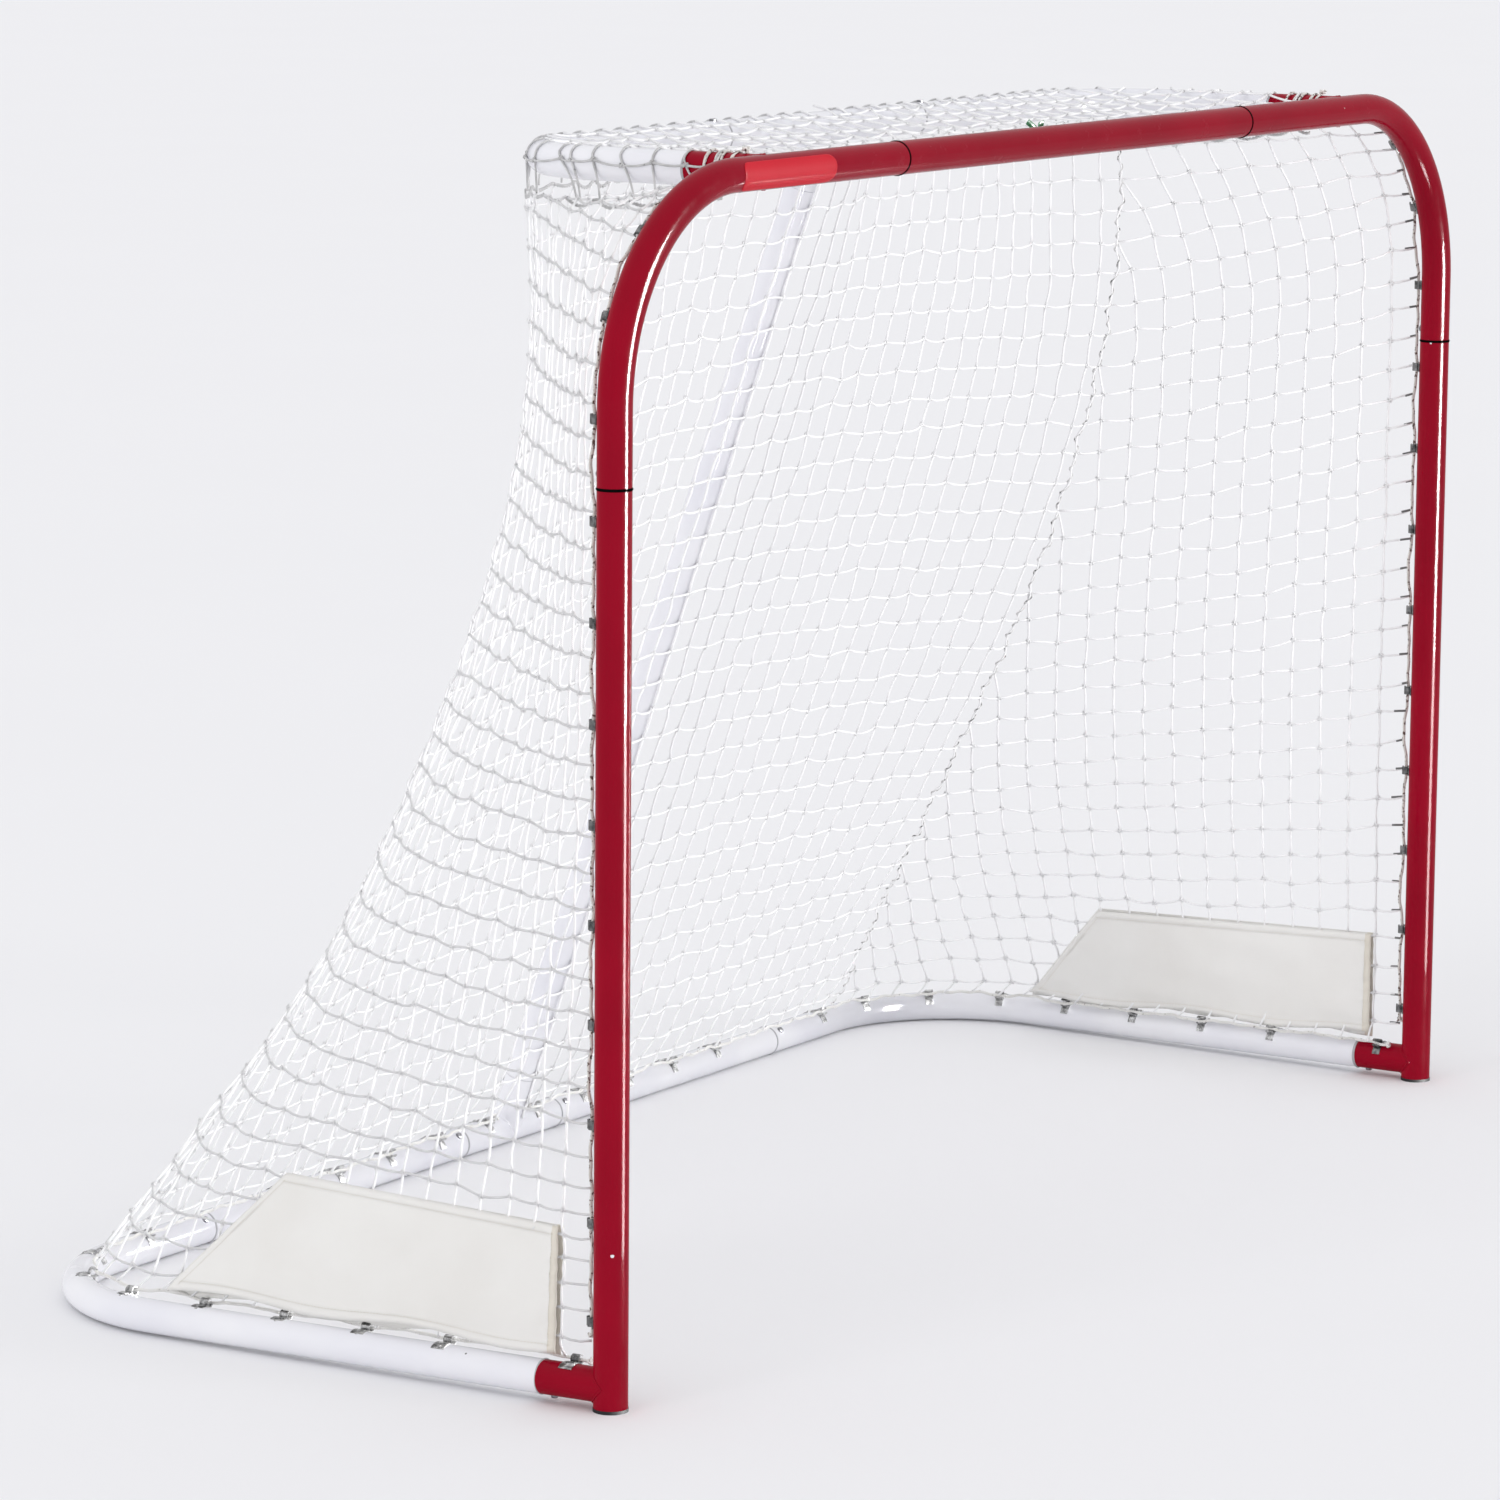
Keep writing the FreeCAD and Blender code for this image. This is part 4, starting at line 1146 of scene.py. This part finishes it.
def skirtPly(side, ply, seed):
    # a grid over the side net, pushed off it with wrinkles and puckers
    draw = np.random.default_rng(seed)
    k, tall = skirt, skirt["high"] - skirt["low"]
    aLine, bLine = hemmed(120, k["hem"], plyWidth(0.5)), hemmed(34, k["hem"], tall)
    points = skirtGrid(side, aLine, bLine)
    normal = unit(np.cross(np.gradient(points, axis=1), np.gradient(points, axis=0)))
    normal = normal * np.sign(np.sum(normal[..., :1]))
    a, b = np.meshgrid(aLine, bLine)
    x, z = a * plyWidth(b), b * tall
    fromEdge = np.minimum(np.minimum(a, 1 - a) * plyWidth(b), np.minimum(b, 1 - b) * tall)
    inner = eased(fromEdge / 0.03)
    phase = draw.uniform(0, 6.28, 8)
    folds = (np.sin(x * 21 + z * 34 + phase[0]) + 0.7 * np.sin(x * 47 - z * 61 + phase[1])
             + 0.5 * np.sin(x * 83 + z * 25 + phase[2]) + 0.35 * np.sin(x * 12 - z * 120 + phase[3]))
    frontHem, lowHem = np.exp(-(x / k["frontHem"]) ** 2), np.exp(-(z / k["lowHem"]) ** 2)
    off = k["offEdge"] + (k["off"] - k["offEdge"]) * inner
    off = off + k["wrinkle"] * np.maximum(folds, -0.5 / 0.9) * inner * (0.5 + 0.8 * np.exp(-b * 3.0))
    off = off + k["pucker"] * frontHem * (0.5 + 0.5 * np.sin(z * 330 + 1.5 * np.sin(z * 90 + phase[4])))
    off = off + k["pucker"] * 0.6 * lowHem * (0.5 + 0.5 * np.sin(x * 150 + 2 * np.sin(x * 31 + phase[5])))
    off = off + np.where(fromEdge <= k["hem"] + 1e-6, k["hemRise"], 0)
    points = points + up * (lowHem * 0.004 * np.sin(x * 26 + phase[6]))[..., None]
    points = points + normal * (off * ply)[..., None]
    verts, quads, uv = points.reshape(-1, 3), gridQuads(*a.shape), np.stack([x, z], axis=-1).reshape(-1, 2)
    if side == "left":
        verts = mirrorX(verts)
    if (ply < 0) != (side == "left"):
        quads = quads[:, ::-1]
    name = side + ("_skirt_outside" if ply > 0 else "_skirt_inside")
    piece = quadMesh(name, (verts, quads, uv[quads].reshape(-1, 8)), skirtCanvas)
    addFinishes(piece, (hemCanvas,), (a < aLine[2] + 1e-6).reshape(-1)[quads].all(axis=1))
    thicken(piece, "cloth", k["cloth"])
    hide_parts(side + "_skirt")
    threads = skirtStitches(name + "_stitches", points, normal * ply, side)


def skirtStitches(name, points, normal, side):
    # short arched stitches down the middle of each hem
    k, lastB, lastA = skirt, points.shape[0] - 1.0, points.shape[1] - 1.0
    tall, wide = np.linspace(1, lastB - 1, 400), np.linspace(1, lastA - 1, 900)
    paths = []
    for a, b in ((np.full(400, 2.0), tall), (np.full(400, lastA - 2), tall),
                 (wide, np.full(900, 2.0)), (wide, np.full(900, lastB - 2))):
        line, way = sampleGrid(points, a, b), sampleGrid(normal, a, b)
        along = lengths(line)
        starts = np.arange(0.002, along[-1] - k["stitch"], k["stitch"])
        at = starts[:, None] + np.linspace(0, 1, 4) * k["stitch"] * 0.72
        arch = np.array([0.2, 1, 1, 0.2]) * k["stitchR"] * 1.5
        on, off = (pick(along, values, at.ravel()).reshape(at.shape + (3,)) for values in (line, way))
        paths.append(on + unit(off) * (k["cloth"] + arch[None, :, None]))
    paths = np.concatenate(paths)
    if side == "left":
        paths = mirrorX(paths)
    return quadMesh(name, tubeParts(paths, k["stitchR"], 4), hemCanvas)


def sampleGrid(values, a, b):
    ia, ib = np.minimum(a.astype(int), values.shape[1] - 2), np.minimum(b.astype(int), values.shape[0] - 2)
    fa, fb = (a - ia)[:, None], (b - ib)[:, None]
    low = values[ib, ia] * (1 - fa) + values[ib, ia + 1] * fa
    high = values[ib + 1, ia] * (1 - fa) + values[ib + 1, ia + 1] * fa
    return low * (1 - fb) + high * fb


for side, seed in (("left", 41), ("right", 43)):
    skirtPly(side, 1, seed)
    skirtPly(side, -1, seed + 1)
print("skirts sewn")


# Weld beads and joint edges

weld = {"r": 0.0014, "ripples": 46}


def weldBead(name, root, along, carrier, finish):
    # the line where two equal tubes meet, with a rippled bead on it
    a = fullTurn(184)
    along, carrier = unit(np.array(along, float)), unit(np.array(carrier, float))
    r = tubes["tubeR"] - 0.0003
    path = root + r * turned(a, np.cross(along, carrier), carrier)
    path = path + along * (r * np.abs(np.sin(a)) + 0.0006)[:, None]
    radius = weld["r"] * (1 + 0.10 * np.sin(a * weld["ripples"]))
    normal = np.tile(along, (len(a), 1))
    quadMesh(name, tubeParts(path[None], radius[None], 8, normal[None], closed=True), finish)


for side, sign in (("left", -1), ("right", 1)):
    stub = (sign * tubes["postX"], tubes["frontY"], tubes["baseRise"])
    corner = (sign * tubes["baseX"], tubes["rearY"], tubes["tubeR"])
    weldBead(side + "_base_weld", stub, np.subtract(corner, stub), up, redPaint)
    weldBead(side + "_shelf_weld", (sign * tubes["shelfX"], tubes["frontY"], tubes["barZ"]), (0, 1, 0),
             (1, 0, 0), redPaint)
weldBead("pole_foot_weld", poleFoot, poleWay, (1, 0, 0), whitePaint)
weldBead("pole_head_weld", poleHead, -poleWay, (1, 0, 0), whitePaint)
print("welds made")


# Joint lines, label patch and small things

jointLine = {"r": 0.0019, "sink": 0.0010}
jointAt = {"post": 0.940, "crossbar": 0.392, "baseRear": (0.100, 0.600), "shelf": 0.213, "baseStub": 0.080,
           "shelfStub": 0.090}


def ringAbout(place, direction):
    first, second = acrossBoth(direction, [0.31, 0.21, 0.92])
    return place + (tubes["tubeR"] - jointLine["sink"]) * turned(fullTurn(48), first, second)


def jointLines():
    # the dark line that shows where two tube ends meet; the red tubes' joints come first
    places = []
    for r, fromMiddle, fromEnd in ((frontRail, [jointAt["crossbar"]], jointAt["post"]),
                                   (baseRail, jointAt["baseRear"], jointAt["baseStub"]),
                                   (shelfRail, [jointAt["shelf"]], jointAt["shelfStub"])):
        total = r["along"][-1]
        places += [(r, total / 2 + way * at) for at in fromMiddle for way in (-1, 1)]
        places += [(r, fromEnd), (r, total - fromEnd)]
    ways = [unit(wayOf(r, at)) for r, at in places]
    rings = [ringAbout(onLine(r, at), way) for (r, at), way in zip(places, ways)]
    normals = np.repeat(np.array(ways)[:, None], len(rings[0]), axis=1)
    verts, quads, uv = tubeParts(np.array(rings), jointLine["r"], 6, normals, closed=True)
    verts[:, 2] = np.maximum(verts[:, 2], 0.0)
    piece = quadMesh("joint_lines", (verts, quads, uv), gapShade)
    ring = np.arange(len(quads)) // (len(quads) // len(rings))
    addFinishes(piece, (gapPale,), ring >= 4)


label = {"from": -0.721, "to": -0.542, "low": -62.0, "high": 48.0, "round": 0.012, "thick": 0.00015}


def labelPatch():
    # the bare vinyl patch on the crossbar's front: a grid bent round the tube, its corners rounded
    f = Finish("labelVinyl")
    colour = f.mix(f.noise(30.0), (0.60, 0.020, 0.036), (0.55, 0.017, 0.030))
    f.set(Base_Color=colour, Roughness=0.45, Normal=f.bump(f.noise(500.0), 0.05, 0.0002), Coat_Weight=0.03,
          Specular_IOR_Level=0.02)
    r = tubes["tubeR"] + 0.00012
    low, high = math.radians(label["low"]) * r, math.radians(label["high"]) * r
    tall, wide = np.linspace(-1, 1, 41), np.linspace(-1, 1, 49)
    middleV, reach = (low + high) / 2, (high - low) / 2
    over = np.maximum(0, np.abs(tall) * reach - (reach - label["round"]))
    inset = label["round"] - np.sqrt(np.maximum(label["round"] ** 2 - over ** 2, 0))
    middleX, halfLength = (label["from"] + label["to"]) / 2, (label["to"] - label["from"]) / 2
    x = middleX + wide[None] * (halfLength - inset[:, None])
    angle = np.broadcast_to(((middleV + tall * reach) / r)[:, None], x.shape)
    verts = np.stack([x, tubes["frontY"] - r * np.cos(angle), tubes["barZ"] + r * np.sin(angle)], axis=-1)
    quads, flat = gridQuads(*x.shape), np.stack([x, angle * r], axis=-1).reshape(-1, 2)
    part = verts.reshape(-1, 3), quads, flat[quads].reshape(-1, 8)
    piece = quadMesh("label_patch", part, f.material)
    thicken(piece, "vinyl", label["thick"])


strap = {
    "width": 0.016, "thick": 0.0009, "from": math.radians(-38), "to": math.radians(14), "rivetR": 0.0021,
}


def strip(line, side, third, width, thick):
    # a flat strip: four corners about each point of its middle line
    w, h = width / 2, thick / 2
    corners = ((-1, -1), (1, -1), (1, 1), (-1, 1))
    ring = np.stack([line + side * w * a + third * h * b for a, b in corners], axis=1)
    index = np.arange(len(line) * 4).reshape(-1, 4)
    around = np.roll(index, -1, axis=1)
    quads = np.stack([index[:-1], around[:-1], around[1:], index[1:]], axis=-1).reshape(-1, 4)
    quads = np.concatenate([quads, index[:1, ::-1], index[-1:]])
    return ring.reshape(-1, 3), quads, np.zeros((len(quads), 8))


def clipStraps():
    # each base clip's own strap, bent over the tube's outer face and riveted there
    parts = []
    angle = np.linspace(strap["from"], strap["to"], 9)
    for at in np.concatenate([leftBase, rightBase]):
        tangent = unit(wayOf(baseRail, at))[None]
        inside = unit(np.cross(tangent, up))
        way = turned(angle, np.cross(inside, tangent), inside)
        line = onLine(baseRail, at) + (tubes["tubeR"] + strap["thick"] / 2 + 0.0001) * way
        parts.append(strip(line, tangent, way, strap["width"], strap["thick"]))
        head = line[2] + way[2] * np.array([[0.0003], [0.0011], [0.0014]])
        parts.append(tubeParts(head[None], strap["rivetR"] * np.array([[1.0, 0.8, 0.35]]), 10,
                               np.tile(tangent, (3, 1))[None]))
    quadMesh("clip_straps", joined(parts), zinc)


tie = {"x": -0.043, "width": 0.0065, "thick": 0.0007}


def greenTie():
    # a short strip twisted once about the crossbar's rope, both ends standing up behind the crossbar
    f = Finish("tieGreen")
    f.set(Base_Color=f.mix(f.noise(300.0), (0.012, 0.16, 0.05), (0.03, 0.30, 0.11)), Roughness=0.4,
          Normal=f.bump(f.noise(900.0), 0.2, 0.0002))
    bar = ropes["bar"](frontLength / 2 + tie["x"])
    places = [(-0.016, 0.003, 0.021), (-0.009, 0.002, 0.017), (-0.003, -0.001, 0.010),
              (0.002, 0.004, -0.002), (0.000, 0.0, -0.006), (-0.003, -0.004, 0.000),
              (0.003, -0.001, 0.010), (0.010, 0.003, 0.016), (0.017, 0.001, 0.018)]
    line = bar + smoothLine(places, 0.0012)
    tangent = wayAlong(line)
    side = unit(np.cross(tangent, [0.25, 0.9, 0.35]))
    part = strip(line, side, np.cross(tangent, side), tie["width"], tie["thick"])
    quadMesh("green_tie", part, f.material)


spotsOnPosts = {                       # sign of x, height, radius, degrees round the post from the camera's side
    "left": (-1, 0.165, 0.0019, -4), "right": (1, 0.938, 0.0013, 22),
}


def postSpots():
    # white spots on the posts, small discs bent to the tube and turned towards the camera; the right one, at
    # the post's joint, is a painted highlight
    turn = fullTurn(12)
    for side, (sign, height, radius, off) in spotsOnPosts.items():
        way = math.radians(212.7 - off)
        toCamera = np.array([math.cos(way), math.sin(way), 0.0])
        u = np.concatenate([[0], np.cos(turn) * radius * (1 + 0.2 * np.sin(3 * turn))])
        v = np.concatenate([[0], np.sin(turn) * radius * (1 + 0.15 * np.cos(2 * turn))])
        r = tubes["tubeR"] + np.concatenate([[0.00025], np.full(12, 0.00005)])
        post = np.array([sign * tubes["postX"], tubes["frontY"], height])
        bent = turned(u / tubes["tubeR"], toCamera, np.cross(up, toCamera))
        verts = post + up * v[:, None] + r[:, None] * bent
        quads = [(0, 1 + k, 1 + (k + 1) % 12, 1 + (k + 2) % 12) for k in range(0, 12, 2)]
        quadMesh(side + "_white_spot", (verts, np.array(quads), None), whitePaint)


jointLines()
clipStraps()
labelPatch()
greenTie()
postSpots()
print("small things made")


# Camera, light and floor

light = {"horizon": 0.68, "zenith": 1.08, "key": 0.85, "strip": 2800, "side": 0.82, "sunAngle": 0.30}
view = {
    "place": (-5.96489, -3.66317, 1.67526), "azimuth": -58.1874, "elevation": 9.4129, "roll": 0.4600,
    "lens": 146.853, "sensor": 36.0,
}


def addCamera():
    a, e, r = (math.radians(view[k]) for k in ("azimuth", "elevation", "roll"))
    forward = np.array([-math.sin(a) * math.cos(e), math.cos(a) * math.cos(e), -math.sin(e)])
    level = unit(np.cross(forward, up))
    above = np.cross(level, forward)
    across = math.cos(r) * level + math.sin(r) * above
    above = -math.sin(r) * level + math.cos(r) * above
    lens = bpy.data.cameras.new("camera")
    lens.lens, lens.sensor_width = view["lens"], view["sensor"]
    lens.clip_start, lens.clip_end = 0.1, 200
    camera = bpy.data.objects.new("camera", lens)
    bpy.context.scene.collection.objects.link(camera)
    turn = Matrix([[across[i], above[i], -forward[i]] for i in range(3)])
    camera.matrix_world = Matrix.Translation(Vector(view["place"])) @ turn.to_4x4()
    bpy.context.scene.camera = camera


def addPanel(name, place, target, width, height, power):
    # a lamp that shows only as a reflection
    lamp = bpy.data.lights.new(name, "AREA")
    lamp.shape, lamp.size, lamp.size_y = "RECTANGLE", width, height
    lamp.energy = power
    hangLamp(lamp, place, target, False)


def addSoftSun(name, place, target, strength):
    # a broad far lamp, which lights the floor evenly and has no reflection
    lamp = bpy.data.lights.new(name, "SUN")
    lamp.energy, lamp.angle = strength, light["sunAngle"]
    hangLamp(lamp, place, target, True)


def hangLamp(lamp, place, target, diffuse):
    holder = bpy.data.objects.new(lamp.name, lamp)
    bpy.context.scene.collection.objects.link(holder)
    holder.visible_diffuse, holder.visible_glossy, holder.visible_camera = diffuse, not diffuse, False
    holder.location = place
    way = Vector(target) - Vector(place)
    holder.rotation_mode = "QUATERNION"
    holder.rotation_quaternion = way.to_track_quat("-Z", "Y")


def addFloor():
    f = Finish("floor")
    speckle = f.noise(1.2, 4.0)
    colour = f.mix(speckle, (0.855, 0.855, 0.87), (0.865, 0.865, 0.88))
    f.set(Base_Color=colour, Roughness=0.7, Specular_IOR_Level=0.0)
    reach = 90.0
    mesh = bpy.data.meshes.new("floor")
    mesh.from_pydata([(-reach, -reach, 0), (reach, -reach, 0), (reach, reach, 0), (-reach, reach, 0)], [],
                     [(0, 1, 2, 3)])
    mesh.materials.append(f.material)
    floor = bpy.data.objects.new("floor", mesh)
    bpy.context.scene.collection.objects.link(floor)


def addWorld():
    world = bpy.data.worlds.new("studio")
    world.use_nodes = True
    tree = world.node_tree
    background = tree.nodes["Background"]
    background.inputs["Color"].default_value = (0.985, 0.985, 1.0, 1)
    where = tree.nodes.new("ShaderNodeTexCoord")
    split = tree.nodes.new("ShaderNodeSeparateXYZ")
    climb = tree.nodes.new("ShaderNodeMapRange")
    climb.inputs["To Min"].default_value = light["horizon"]
    climb.inputs["To Max"].default_value = light["zenith"]
    tree.links.new(where.outputs["Generated"], split.inputs[0])
    tree.links.new(split.outputs["Z"], climb.inputs["Value"])
    tree.links.new(climb.outputs["Result"], background.inputs["Strength"])
    bpy.context.scene.world = world


addCamera()
addFloor()
addWorld()
addSoftSun("keyLight", (2.4, -10.0, 1.9), (0, 0, 0.7), light["key"])
addSoftSun("sideFill", (-10.4, 2.4, 2.0), (0, 0, 0.6), light["side"])
addPanel("stripReflection", (0.86, -4.1, 1.31), (0, 0, 1.31), 1.3, 2.6, light["strip"])
addPanel("leftStripLow", (-0.67, -0.92, 0.30), (-0.93, -0.38, 0.30), 0.19, 0.57, 26)
addPanel("rightStripLow", (0.92, -0.98, 0.25), (0.93, -0.38, 0.25), 0.21, 0.45, 23)
bpy.context.scene.view_settings.view_transform = "Standard"
